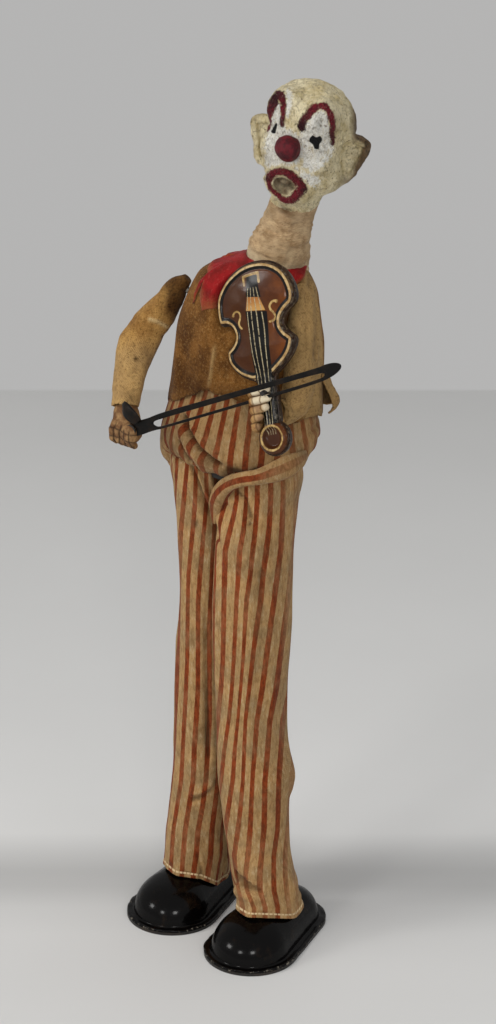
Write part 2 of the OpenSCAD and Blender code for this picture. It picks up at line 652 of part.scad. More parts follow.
// The peg that the bow's slot slides on, and its boss in the fiddle's neck
peg_r = 0.6;
peg_at = [15.9, 33.8];
boss_uv = [0.7, -16.7];
bow_y = -20.9;
module peg_hole() bar(peg_at, peg_r + fit, bow_y - 5, bow_y + 15);
module guide_peg() color("#2a2722") on_body() bar(peg_at, peg_r, bow_y - 0.9, bow_y + 5);
module fiddle_stud() color("#8d8a80") on_body() difference() {
    bar(stud_at, stud_r, fiddle_at[1], -shell_hd + 1.4);
    before_fiddle(-fiddle_t / 2);
}
palm_t = 1.6;

// Left hand: palm behind the neck, and fingers round its side with their tips on the strings
finger_r = 0.96;
finger_uv = [-neck_hw - 1, -20.9];
module left_hand() color("#d9bf97") on_fiddle() difference() {
    union() {
        translate([finger_uv[0] - 1.6, finger_uv[1] - 6.2, -fiddle_t / 2 - palm_t - 0.1]) cube([6.6, 8, palm_t]);
        for (k = [0:3]) translate([finger_uv[0], finger_uv[1] - k * 1.7, -fiddle_t / 2 - 0.9]) {
            cylinder(r = finger_r, h = fiddle_t + 2);
            translate([0, 0, fiddle_t + 2]) sphere(r = finger_r + 0.08, $fn = 20);
            translate([0, 0, fiddle_t + 2]) rotate([0, 90, 0]) cylinder(r = finger_r - 0.05, h = neck_hw + 1.6);
        }
    }
    translate([0, 0, -fiddle_t / 2 - 0.1]) linear_extrude(fiddle_t + 0.2) fiddle2d(0.1);
}

// Neck and head

module neck_pivot_pin() color("#8d8a80") on_body() {
    bar(neck_pivot, pin_r, -y_out - 0.4, y_out + 0.4);
    bar(neck_pivot, pin_r + 0.5, -y_out - 0.5, -y_out - 0.1);
    bar(neck_pivot, pin_r + 0.5, y_out + 0.1, y_out + 0.5);
}
module on_neck() on_body() translate([neck_pivot[0], neck_y, neck_pivot[1]]) rotate([0, neck_lean, 0]) children();
neck_top = neck_ball + 19;
head_reach = 51;
head_at = [head_reach * sin(neck_lean) - 0.2, neck_y + 1, neck_pivot[1] + head_reach * cos(neck_lean)];
module on_head() on_body() translate(head_at) rotate([0, head_roll, 0]) children();
module neck_post() color("#8d8a80") on_neck() {
    difference() {
        union() {
            cylinder(r = post_r, h = neck_top + 6);
            bar([0, 0], pin_r + 1.4, -1.2, 1.2);
        }
        bar([0, 0], pin_r + fit, -3, 3);
    }
}
module neck() color("#b8975e") on_neck() rotate_extrude($fn = 64) polygon(concat(
    [for (k = [0:6]) let (r = lerp(post_r + 0.1, neck_flare_r, k / 6)) [r, sqrt(neck_ball ^ 2 - r ^ 2)]],
    [[neck_flare_r, neck_ball - 0.2], [neck_r + 1.6, neck_ball + 4], [neck_r + 0.5, neck_ball + 8],
        [neck_r, neck_ball + 12], [neck_r, neck_top], [post_r + 0.1, neck_top]]));
// Skull, jaw and ears, drawn in by d
module head_form(d) {
    r = head_w / 2 - d;
    hull() {
        translate([0, 1, 4]) scale([1, (head_d / 2 - d) / r, 1]) sphere(r = r, $fn = 32);
        translate([0, 0.2, head_h / 2 - 8.6]) scale([1, 1.12, 1]) sphere(r = 8.4 - d, $fn = 32);
        translate([0, -3.6, -head_h / 2 + 6.4]) scale([1, 1.05, 0.95]) sphere(r = 6.6 - d, $fn = 32);
    }
}
module head() color("#d8cfa8") on_body() difference() {
    translate(head_at) rotate([0, head_roll, 0]) difference() {
        union() {
            head_form(0);
            for (s = [-1, 1]) translate([s * (head_w / 2 + 0.9), 2.6, -1.5]) rotate([0, s * 8, s * -25])
                scale([0.42, 0.8, 1.25]) sphere(r = 4, $fn = 24);
        }
        head_form(head_wall);
        translate([0, -head_d / 2 + 0.6, -1.6]) sphere(r = nose_r + 0.12, $fn = 32);
    }
    translate([neck_pivot[0], neck_y, neck_pivot[1]]) rotate([0, neck_lean, 0])
        cylinder(r = neck_r + 0.15, h = neck_top + 0.2);
}
module nose() color("#9c1b33") on_head() translate([0, -head_d / 2 + 0.6, -1.6]) sphere(r = nose_r, $fn = 32);

// Bow arm

arm_path = [[-19.8, -0.5, 48.6], [-20.4, -1, 46.6], [-22.9, -2.5, 41.3], [-26.3, -4, 36.2], [-28.4, -7, 29.7],
    [-28.2, -10, 23.8], [-27, -13, 19.6], [-25.8, -15, 16.1]];
arm_radii = [1.6, 2.7, 3.7, 4.6, 4.9, 4.4, 3.8, 3];
arm_wire_r = 0.9;
wire_path = concat([[shaft_s[0] - 0.5, 0, shaft_s[1]], [-14, 0, 45.3], [-18, -0.2, 45.6]],
    [for (i = [1:len(arm_path) - 1]) arm_path[i]], [[-24.6, -16.2, 13]]);
module arm_shaft() color("#8d8a80") on_body() difference() {
    union() {
        bar(shaft_s, arbor_r, -lever_y - lever_t, y_out + 0.4);
        bar(shaft_s, arbor_r + 0.9, -1.6, 1.6);
    }
    loft(path_rings([for (i = [0:2]) wire_path[i]], [for (i = [0:2]) arm_wire_r + fit], 10));
}
module arm_lever() color("#b9a36a") on_body() slab(-lever_y - lever_t, -lever_y) translate(shaft_s) rotate(lever_dir)
    difference() {
        union() {
            dot([0, 0], 1.7);
            link2d([0, 0], [lever_len + bow_throw + 1, 0], 3.2);
        }
        dot([0, 0], arbor_r + 0.001);
        link2d([lever_len - bow_throw - 0.1, 0], [lever_len + bow_throw + 0.1, 0], 2 * (pin_r + 0.1));
    }
module arm_wire() color("#8d8a80") on_body() loft(path_rings(wire_path, [for (p = wire_path) arm_wire_r], 10));
module right_sleeve() color("#b08c58") on_body() difference() {
    loft(path_rings(arm_path, arm_radii, 24));
    loft(path_rings(wire_path, [for (p = wire_path) arm_wire_r + 0.1], 10));
}
fist = [-23.9, -16.9, 11.6];
module right_hand() color("#a08a6a") on_body() difference() {
    union() {
        hull() {
            translate(fist) scale([1, 0.85, 1.05]) sphere(r = 4, $fn = 28);
            translate([-25.3, -15.5, 15]) sphere(r = 2.7, $fn = 24);
        }
        for (k = [0:3]) translate(fist + [1.1, -2.3, 2.4 - k * 1.7]) rotate([0, 90, 0])
            cylinder(r = 0.95, h = 3.4, center = true);
        bar(hand_pivot, 1.8, bow_y + bow_t + 0.2, fist[1] + 1);
    }
    bar(hand_pivot, rivet_r + fit, -24, -14);
    loft(path_rings(wire_path, [for (p = wire_path) arm_wire_r + 0.1], 10));
    loft(path_rings([arm_path[6], arm_path[7], arm_path[7] + [0.3, -0.4, -0.5]], [4, 3.2, 3.1], 24));
}

// Bow

module bow2d() {
    w = bow_w / 2;
    difference() {
        union() {
            link2d([0, 0], [5, 0], 3.4);
            polygon([[2.5, -w * 0.74], [10, -w * 0.92], [bow_len * 0.6, -w], [bow_len - 8, -w * 0.95],
                [bow_len - 3, -w * 0.6], [bow_len, 0.3], [bow_len - 2.4, w * 0.75], [bow_len - 8, w],
                [bow_len * 0.6, w], [10, w * 0.92], [2.5, w * 0.74]]);
        }
        dot([0, 0], rivet_r + fit);
        link2d([8, -0.4], [bow_len - 9.5, -0.4], bow_slot);
    }
}
module bow() color("#1a1815") on_body() slab(bow_y, bow_y + bow_t) translate(hand_pivot) rotate(bow_slope) bow2d();
module bow_rivet() color("#2a2722") on_body() {
    bar(hand_pivot, rivet_r, bow_y - 0.2, fist[1] + 0.6);
    bar(hand_pivot, rivet_r + 0.8, bow_y - 0.6, bow_y - 0.15);
}

// Wheels

// Straight sided teeth: a tooth stands at the angle phase
module gear2d(teeth, m, phase) polygon([for (i = [0:teeth - 1], k = [[-0.26, -1.1], [-0.12, 0.85], [0.12, 0.85],
    [0.26, -1.1]]) let (a = (i + k[0]) * 360 / teeth + phase, r = m * (teeth / 2 + k[1])) r * [cos(a), sin(a)]]);
module spokes2d(r, hub, rim) difference() {
    circle(rim);
    circle(hub);
    for (k = [0:4]) rotate(k * 72) translate([0, -0.7]) square([r, 1.4]);
}
module great_wheel() color("#c2a25a") on_body() slab(great_y, great_y + wheel_t) translate(arbor_a) difference() {
    gear2d(teeth_great, module_1, dir_ab);
    circle(wind_r + fit);
    spokes2d(12, 6.6, 9.8);
}
module click_spring() color("#5d6470") on_body() slab(great_y + wheel_t + 0.05, ratchet_y + 0.6) translate(arbor_a) {
    link2d([5.9, -3], [2.6, 3.35], 0.5);
    dot([5.9, -3], 0.9);
}
module ratchet_wheel() color("#8d8a80") on_body() slab(ratchet_y, ratchet_y + 0.6) translate(arbor_a) difference() {
    polygon([for (i = [0:ratchet_teeth - 1], k = [[0, ratchet_r], [0.12, ratchet_r - 0.8]])
        let (a = (i + k[0]) * 360 / ratchet_teeth) k[1] * [cos(a), sin(a)]]);
    circle(wind_r + 0.001);
}
key_y = shell_hd + 5;
module winding_arbor() color("#8d8a80") on_body() bar(arbor_a, wind_r, -y_out - 0.5, key_y + 3.4);
module winding_key() color("#c2a25a") on_body() difference() {
    union() {
        bar(arbor_a, wind_r + 1.2, key_y, key_y + 5);
        slab(key_y + 1.9, key_y + 3.1) for (s = [-1, 1])
            link2d(arbor_a + [0, s * 2], arbor_a + [0, s * (key_span / 2 - 3)], 6);
    }
    bar(arbor_a, wind_r + 0.001, key_y - 1, key_y + 3.4);
}
module second_wheel() color("#c2a25a") on_body() translate([arbor_b[0], 0, arbor_b[1]]) difference() {
    union() {
        slab(second_y, second_y + wheel_t) difference() {
            gear2d(teeth_second, module_2, dir_bc);
            spokes2d(9, 3.6, 7.2);
        }
        slab(second_y + wheel_t, great_y + wheel_t + pinion_lap)
            gear2d(teeth_second_pinion, module_1, dir_ab + 180 + 180 / teeth_second_pinion);
    }
    bar([0, 0], arbor_r + 0.001, -y_in, y_in);
}
module second_arbor() color("#8d8a80") on_body() bar(arbor_b, arbor_r, -y_out - 0.1, y_out + 0.1);
module crank_pinion() color("#c2a25a") on_body() slab(second_y - pinion_lap, second_y + wheel_t + pinion_lap)
    translate(arbor_c) difference() {
        gear2d(teeth_crank_pinion, module_2, dir_bc + 180 + 180 / teeth_crank_pinion);
        circle(arbor_r + 0.001);
    }
module crank_arbor() color("#8d8a80") on_body() bar(arbor_c, arbor_r, -disc_y - disc_t, disc_y + disc_t);
module crank(side, throw_at) {
    near = side > 0 ? disc_y : -disc_y - disc_t;
    difference() {
        bar(arbor_c, norm(throw_at) + pin_r + 0.9, near, near + disc_t);
        bar(arbor_c, arbor_r + 0.001, near - 1, near + disc_t + 1);
    }
    bar(arbor_c + throw_at, pin_r, side > 0 ? disc_y + disc_t : -pin_tip, side > 0 ? pin_tip : -disc_y - disc_t);
}
module bow_crank() color("#b9a36a") on_body() crank(-1, bow_throw * unit(lever_vec));
module sway_crank() color("#b9a36a") on_body() crank(1, sway_throw * [cos(sway_phase), sin(sway_phase)]);
// The sway link: a yoke over the sway crank's pin, and an eye over the bracket's anchor
module sway_link() color("#b9a36a") on_body() slab(link_y, link_y + link_t) {
    yoke_z = arbor_c[1] + link_lift;
    eye = [anchor_arm, link_lift];
    slot = sway_throw + 0.3;
    difference() {
        union() {
            link2d(eye, [anchor_arm, yoke_z - 4], 3);
            dot(eye, 1.7);
            link2d([anchor_arm, yoke_z - 4], [arbor_c[0] + slot, yoke_z], 3);
            link2d([arbor_c[0] - slot, yoke_z], [arbor_c[0] + slot, yoke_z], 3.8);
        }
        link2d([arbor_c[0] - slot, yoke_z], [arbor_c[0] + slot, yoke_z], 2 * (pin_r + 0.1));
        dot(eye, pin_r + 0.25);
        for (z = guide_z) link2d([anchor_arm, z - 0.25], [anchor_arm, z + link_lift + sway_throw + 0.1], 2 * guide_r + 0.2);
    }
}

right_shoe_upper();
right_sole_plate();
left_shoe_upper();
left_sole_plate();
right_leg_rod();
left_leg_rod();
rod_collars();
hip_bracket();
sway_pin();
right_trouser_leg();
left_trouser_leg();
frame_front_plate();
frame_back_plate();
frame_pillars();
mainspring();
body_front_shell();
body_back_shell();
shell_screws();
link_guides();
jacket();
coat_tail();
collar();
trouser_seat();
fiddle_top();
fiddle_back();
fiddle_stud();
guide_peg();
left_sleeve();
left_hand();
neck_pivot_pin();
head();
nose();
neck();
neck_post();
arm_shaft();
arm_lever();
arm_wire();
right_sleeve();
right_hand();
bow();
bow_rivet();
winding_key();
winding_arbor();
ratchet_wheel();
great_wheel();
click_spring();
second_wheel();
second_arbor();
crank_pinion();
crank_arbor();
bow_crank();
sway_crank();
sway_link();
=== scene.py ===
"""A clockwork clown with a fiddle, built as named pieces on the loaded frame."""
import math
from contextlib import contextmanager

import bmesh
import bpy
import numpy as np
from bpy.props import FloatProperty, FloatVectorProperty, PointerProperty
from mathutils import Matrix, Vector, geometry
from mathutils.bvhtree import BVHTree


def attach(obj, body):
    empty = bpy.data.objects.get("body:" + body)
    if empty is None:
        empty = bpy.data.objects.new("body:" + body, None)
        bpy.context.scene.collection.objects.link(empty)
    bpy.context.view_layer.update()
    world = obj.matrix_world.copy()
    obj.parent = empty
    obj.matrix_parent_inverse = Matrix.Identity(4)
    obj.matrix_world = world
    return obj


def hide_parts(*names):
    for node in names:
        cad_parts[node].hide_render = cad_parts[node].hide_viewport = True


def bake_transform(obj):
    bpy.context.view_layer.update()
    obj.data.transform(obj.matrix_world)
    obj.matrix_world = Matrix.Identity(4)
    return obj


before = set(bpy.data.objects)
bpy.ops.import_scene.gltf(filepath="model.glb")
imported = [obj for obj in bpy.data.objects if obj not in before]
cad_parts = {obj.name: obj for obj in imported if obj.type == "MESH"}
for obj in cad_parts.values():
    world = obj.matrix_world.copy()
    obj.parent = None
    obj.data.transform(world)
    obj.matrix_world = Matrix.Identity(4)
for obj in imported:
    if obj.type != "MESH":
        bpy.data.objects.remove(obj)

bl_info = {
    "name": "Clockwork clown",
    "version": (1, 0, 0),
    "blender": (4, 5, 0),
    "location": "View3D > Sidebar > Clown",
    "description": "Builds the pieces and finishes of a clockwork clown with a fiddle",
    "category": "Object",
}

MM = 0.001
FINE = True
FRAME_W, FRAME_H = 496, 1024
# How thick the pressed tin is, in millimetres
SHOE_TIN, FACE_TIN, TAB_TIN, BOW_TIN = 0.35, 0.3, 0.4, 0.62
# Picture points in a millimetre at the figure
PX_PER_MM = 3.97


# Frames, all in millimetres

def turn(axis, degrees):
    c, s = math.cos(math.radians(degrees)), math.sin(math.radians(degrees))
    if axis == "x":
        return np.array([[1, 0, 0], [0, c, -s], [0, s, c]])
    if axis == "y":
        return np.array([[c, 0, s], [0, 1, 0], [-s, 0, c]])
    return np.array([[c, -s, 0], [s, c, 0], [0, 0, 1]])


def inside_frame(outer, turned, at):
    return outer[0] @ turned, outer[0] @ np.array(at, float) + outer[1]


LEAN = 5.5
BODY = (turn("y", LEAN), np.array([0.5, 4.0, 128.0]))
HEAD = inside_frame(BODY, turn("y", 5), [51 * math.sin(math.radians(11)) - 0.2, 4,
                                         40.5 + 51 * math.cos(math.radians(11))])
NECK = inside_frame(BODY, turn("y", 11), [0, 3, 40.5])
FIDDLE = inside_frame(BODY, turn("y", -24) @ turn("x", 74), [8.7, -14.2, 48.1])


def out_of(place, points):
    return np.asarray(points, float) @ place[0].T + place[1]


def into(place, points):
    return (np.asarray(points, float) - place[1]) @ place[0]


# The camera, which also says where a mark that was measured in the picture lies

EYE = np.array([344.7, -609.25, 404.0])
LENS = 103.34
AROUND, DOWN = 0.50768, math.radians(22.1714)
AHEAD = np.array([-math.sin(AROUND) * math.cos(DOWN), math.cos(AROUND) * math.cos(DOWN), -math.sin(DOWN)])
ASIDE = np.array([math.cos(AROUND), math.sin(AROUND), 0.0])
ABOVE = np.cross(ASIDE, AHEAD)
SENSOR = 36
FOCAL = LENS / SENSOR * FRAME_H
# The figure lies between these distances from the camera, in millimetres
NEAR, FAR = 560.0, 900.0


def seen(points):
    q = np.asarray(points, float) - EYE
    far = q @ AHEAD
    return FRAME_W / 2 + FOCAL * (q @ ASIDE) / far, FRAME_H / 2 - FOCAL * (q @ ABOVE) / far


def sight(px, py):
    d = AHEAD + ASIDE * (px - FRAME_W / 2) / FOCAL + ABOVE * (FRAME_H / 2 - py) / FOCAL
    return d / np.linalg.norm(d)


def meet(field, px, py):
    """Where a line of sight meets a field's surface, or passes nearest to it, in the field's own place."""
    place, shape = field
    d, t = sight(px, py), NEAR
    best, least = None, 1e9
    while t < FAR:
        p = into(place, EYE + d * t)
        gap = float(shape(p[None, :])[0])
        if gap < least:
            best, least = p, gap
        if gap < 0.01:
            break
        t += max(gap * 0.6, 0.02)
    return best


# Smooth noise, the same on every run

GRAIN = np.random.RandomState(11).rand(64, 64, 64)


def lumps(points, size, seed=0):
    """Smooth noise from -1 to 1 with lumps of the given size."""
    q = np.asarray(points, float) / size + 17.31 * seed + 200.5
    i = np.floor(q).astype(int)
    f = q - i
    f = f * f * (3 - 2 * f)
    total = 0
    for corner in range(8):
        d = np.array([corner & 1, corner >> 1 & 1, corner >> 2 & 1])
        w = np.where(d, f, 1 - f).prod(-1)
        j = (i + d) % 64
        total = total + w * GRAIN[j[..., 0], j[..., 1], j[..., 2]]
    return 2 * total - 1


def on_line(x):
    """Points on the x axis, for noise along a line."""
    return np.stack([x, x * 0, x * 0], -1)


def step(x, low=0.0, high=1.0):
    t = np.clip((np.asarray(x, float) - low) / (high - low), 0, 1)
    return t * t * (3 - 2 * t)


def unit(v):
    return v / np.linalg.norm(v, axis=-1, keepdims=True)


def run_of(points):
    """Length from the first point of a line to each of its points."""
    return np.concatenate([[0], np.cumsum(np.linalg.norm(np.diff(points, axis=0), axis=-1))])


def rise_of(grid):
    """Mean length from a grid's first row to each of its rows."""
    return np.concatenate([[0], np.cumsum(np.linalg.norm(np.diff(grid, axis=0), axis=-1).mean(1))])


def chart(across, down):
    return np.stack(np.meshgrid(across, down), -1)


def ring_angles(n, start=0.0):
    return start + 2 * math.pi * np.arange(n) / n


def closed_round(grid):
    return np.concatenate([grid, grid[:, :1]], 1)


def spans_round(grid):
    """Lengths between the points of each row of a closed grid."""
    return np.linalg.norm(np.diff(closed_round(grid), axis=1), axis=-1)


def spread(values, at):
    """Values that lie evenly from 0 to 1, read between them."""
    return np.interp(at, np.linspace(0, 1, len(values)), values)


def along(rows, at):
    """A smooth curve through rows of [parameter, values]."""
    rows = np.asarray(rows, float)
    x, y = rows[:, 0], rows[:, 1:]
    slope = np.gradient(y, x, axis=0)
    at = np.clip(np.asarray(at, float), x[0], x[-1])
    i = np.clip(np.searchsorted(x, at) - 1, 0, len(x) - 2)
    h = (x[i + 1] - x[i])[..., None]
    t = (at - x[i])[..., None] / h
    return ((2 * t ** 3 - 3 * t ** 2 + 1) * y[i] + (t ** 3 - 2 * t ** 2 + t) * h * slope[i]
            + (3 * t ** 2 - 2 * t ** 3) * y[i + 1] + (t ** 3 - t ** 2) * h * slope[i + 1])


def to_line(points, line):
    """Distance of points from a line of straight pieces, and where along it, 0 to 1, it is nearest."""
    points, line = np.asarray(points, float), np.asarray(line, float)
    spans = np.linalg.norm(np.diff(line, axis=0), axis=1)
    begin = np.concatenate([[0], np.cumsum(spans)])
    best, share = np.full(points.shape[:-1], 1e9), np.zeros(points.shape[:-1])
    for k in range(len(spans)):
        a, e = line[k], line[k + 1] - line[k]
        t = np.clip(((points - a) @ e) / max(e @ e, 1e-12), 0, 1)
        d = np.linalg.norm(points - a - t[..., None] * e, axis=-1)
        near = d < best
        best = np.where(near, d, best)
        share = np.where(near, (begin[k] + t * spans[k]) / begin[-1], share)
    return best, share


def in_outline(points, outline):
    """Distance from a closed outline in the plane, below zero inside it."""
    outline = np.asarray(outline, float)
    closed = np.vstack([outline, outline[:1]])
    far = to_line(points, closed)[0]
    x, y = points[..., 0], points[..., 1]
    inside = np.zeros(x.shape, bool)
    for a, b in zip(closed[:-1], closed[1:]):
        crosses = (a[1] > y) != (b[1] > y)
        with np.errstate(divide="ignore", invalid="ignore"):
            at = (b[0] - a[0]) * (y - a[1]) / (b[1] - a[1] + 1e-12) + a[0]
        inside ^= crosses & (x < at)
    return np.where(inside, -far, far)


def inward(outline):
    """The direction into a closed outline at each of its points."""
    n = np.roll(outline, -1, 0) - np.roll(outline, 1, 0)
    return unit(np.stack([-n[:, 1], n[:, 0]], -1))


def rounded(outline, turns=2):
    """A closed outline with its corners cut again and again."""
    p = np.asarray(outline, float)
    for _ in range(turns):
        q = np.roll(p, -1, axis=0)
        p = np.stack([0.75 * p + 0.25 * q, 0.25 * p + 0.75 * q], 1).reshape(-1, p.shape[1])
    return p


# Meshes

def make_piece(name, points, faces, marks=None, uv=None):
    """A piece from points in millimetres, with its paint marks as attributes and its UV in face order."""
    mesh = bpy.data.meshes.new(name)
    mesh.from_pydata((np.asarray(points, float) * MM).tolist(), [], [list(map(int, f)) for f in faces])
    for mark, values in (marks or {}).items():
        put_mark(mesh, mark, values)
    if uv is not None:
        layer = mesh.uv_layers.new(name="UVMap")
        layer.data.foreach_set("uv", np.asarray(uv, np.float32).ravel())
    mesh.update()
    piece = bpy.data.objects.new(name, mesh)
    bpy.context.scene.collection.objects.link(piece)
    shade_smooth(piece)
    return piece


def put_mark(mesh, name, values):
    mark = mesh.attributes.new(name, "FLOAT", "POINT")
    mark.data.foreach_set("value", np.asarray(values, np.float32).ravel())


def shade_smooth(piece):
    piece.data.polygons.foreach_set("use_smooth", [True] * len(piece.data.polygons))
    piece.data.update()


def keep_shape(piece):
    """Turns a piece with modifiers into its final mesh."""
    bpy.context.view_layer.update()
    state = bpy.context.evaluated_depsgraph_get()
    mesh = bpy.data.meshes.new_from_object(piece.evaluated_get(state), preserve_all_data_layers=True,
                                           depsgraph=state)
    old = piece.data
    piece.modifiers.clear()
    piece.data = mesh
    mesh.name = piece.name
    bpy.data.meshes.remove(old)
    return piece


def thicken(piece, millimetres, offset=-1.0):
    change = piece.modifiers.new("thickness", "SOLIDIFY")
    change.thickness = millimetres * MM
    change.offset = offset
    change.use_even_offset = False
    change.use_quality_normals = True
    return keep_shape(piece)


def soften(piece, millimetres):
    change = piece.modifiers.new("edges", "BEVEL")
    change.width = millimetres * MM
    change.segments = 3
    change.limit_method = "ANGLE"
    change.angle_limit = math.radians(40)
    change.harden_normals = False
    return keep_shape(piece)


@contextmanager
def opened(piece):
    """A piece's mesh, open for a change."""
    mesh = bmesh.new()
    mesh.from_mesh(piece.data)
    yield mesh
    mesh.to_mesh(piece.data)
    mesh.free()


def weave_grid(name, grid, closed, uv=None, marks=None):
    """A piece from a grid of points; uv has one column more than a closed grid."""
    rows, cols = grid.shape[:2]
    wide = cols if closed else cols - 1
    i, j = np.meshgrid(np.arange(rows - 1), np.arange(wide), indexing="ij")
    i, j = i.ravel(), j.ravel()
    k = (j + 1) % cols
    faces = np.stack([i * cols + j, i * cols + k, (i + 1) * cols + k, (i + 1) * cols + j], 1)
    loops = None
    if uv is not None:
        corners = [(i, j), (i, j + 1), (i + 1, j + 1), (i + 1, j)]
        loops = np.stack([uv[a, b] for a, b in corners], 1).reshape(-1, 2)
    marks = {m: np.asarray(v).reshape(-1) for m, v in (marks or {}).items()}
    return make_piece(name, grid.reshape(-1, 3), faces, marks, loops)


def normals_of(grid, closed):
    """Outward normals of a grid whose columns go anticlockwise and rows go up."""
    if closed:
        a = np.roll(grid, -1, axis=1) - np.roll(grid, 1, axis=1)
    else:
        a = np.gradient(grid, axis=1)
    n = np.cross(a, np.gradient(grid, axis=0))
    return n / np.maximum(np.linalg.norm(n, axis=-1, keepdims=True), 1e-9)


def facing_of(grid, normal):
    """How far each point of a grid faces the camera, 1 straight at it."""
    away = EYE - grid
    return (normal * away / np.linalg.norm(away, axis=-1, keepdims=True)).sum(-1)


def outer_skin(field, low, high, size):
    """Points and faces of the surface where a field is zero, in the field's own frame."""
    low, high = np.array(low, float), np.array(high, float)
    n = np.ceil((high - low) / size).astype(int) + 1
    axes = [low[k] + size * np.arange(n[k]) for k in range(3)]
    grid = np.stack(np.meshgrid(*axes, indexing="ij"), -1)
    f = np.concatenate([field(part) for part in np.array_split(grid, 12)], 0)
    s = tuple(n - 1)
    total, count = np.zeros(s + (3,)), np.zeros(s)
    corners = [np.array([i, j, k]) for i in (0, 1) for j in (0, 1) for k in (0, 1)]
    for a in corners:
        for b in corners:
            if (b - a).min() < 0 or (b - a).sum() != 1:
                continue
            fa = f[a[0]:a[0] + s[0], a[1]:a[1] + s[1], a[2]:a[2] + s[2]]
            fb = f[b[0]:b[0] + s[0], b[1]:b[1] + s[1], b[2]:b[2] + s[2]]
            cross = (fa < 0) != (fb < 0)
            t = np.where(cross, fa / np.where(cross, fa - fb, 1), 0)
            for d in range(3):
                total[..., d] += np.where(cross, a[d] + (b[d] - a[d]) * t, 0)
            count += cross
    cells = count > 0
    index = np.full(s, -1)
    index[cells] = np.arange(cells.sum())
    points = low + size * (np.argwhere(cells) + total[cells] / count[cells][:, None])
    faces = []
    inside = f < 0
    for d in range(3):
        e, g = (d + 1) % 3, (d + 2) % 3
        a = [slice(1, n[k] - 1) for k in range(3)]
        b = list(a)
        a[d], b[d] = slice(0, n[d] - 1), slice(1, n[d])
        fa, fb = inside[tuple(a)], inside[tuple(b)]
        at = np.argwhere(fa != fb)
        flip = fa[tuple(at.T)]
        cell = at.copy()
        cell[:, e] += 1
        cell[:, g] += 1
        quad = []
        for de, dg in ((-1, -1), (0, -1), (0, 0), (-1, 0)):
            c = cell.copy()
            c[:, e] += de
            c[:, g] += dg
            quad.append(index[tuple(c.T)])
        quad = np.stack(quad, 1)
        quad[~flip] = quad[~flip][:, ::-1]
        faces.append(quad)
    faces = np.concatenate(faces)
    faces = faces[(faces >= 0).all(1)]
    for _ in range(3):
        h = size * 0.3
        here = field(points)
        slope = np.stack([(field(points + h * e) - field(points - h * e)) / (2 * h) for e in np.eye(3)], -1)
        points = points - 0.9 * here[:, None] * slope / np.maximum((slope ** 2).sum(-1, keepdims=True), 0.2)
    return points, faces


# Shapes of fields, below zero inside

def ball(p, centre, radius):
    return np.linalg.norm(p - np.array(centre, float), axis=-1) - radius


def egg(p, centre, radii):
    q = p - np.array(centre, float)
    r = np.array(radii, float)
    k0 = np.linalg.norm(q / r, axis=-1)
    k1 = np.maximum(np.linalg.norm(q / r ** 2, axis=-1), 1e-9)
    return k0 * (k0 - 1) / k1


def tube(p, line, radii):
    d, share = to_line(p, line)
    return d - spread(radii, share)


def brick(p, centre, half, round_by):
    q = np.abs(p - np.array(centre, float)) - np.array(half, float) + round_by
    return (np.linalg.norm(np.maximum(q, 0), axis=-1) + np.minimum(q.max(-1), 0)) - round_by


def join(a, b, k):
    h = np.clip(0.5 + 0.5 * (b - a) / k, 0, 1)
    return b * (1 - h) + a * h - k * h * (1 - h)


def carve(a, b, k):
    return -join(-a, b, k)


# Finishes

def tint(text):
    """A display colour such as c8a070 as a linear one."""
    c = np.array([int(text[k:k + 2], 16) for k in (0, 2, 4)]) / 255
    c = np.where(c <= 0.04045, c / 12.92, ((c + 0.055) / 1.055) ** 2.4)
    return (float(c[0]), float(c[1]), float(c[2]), 1.0)


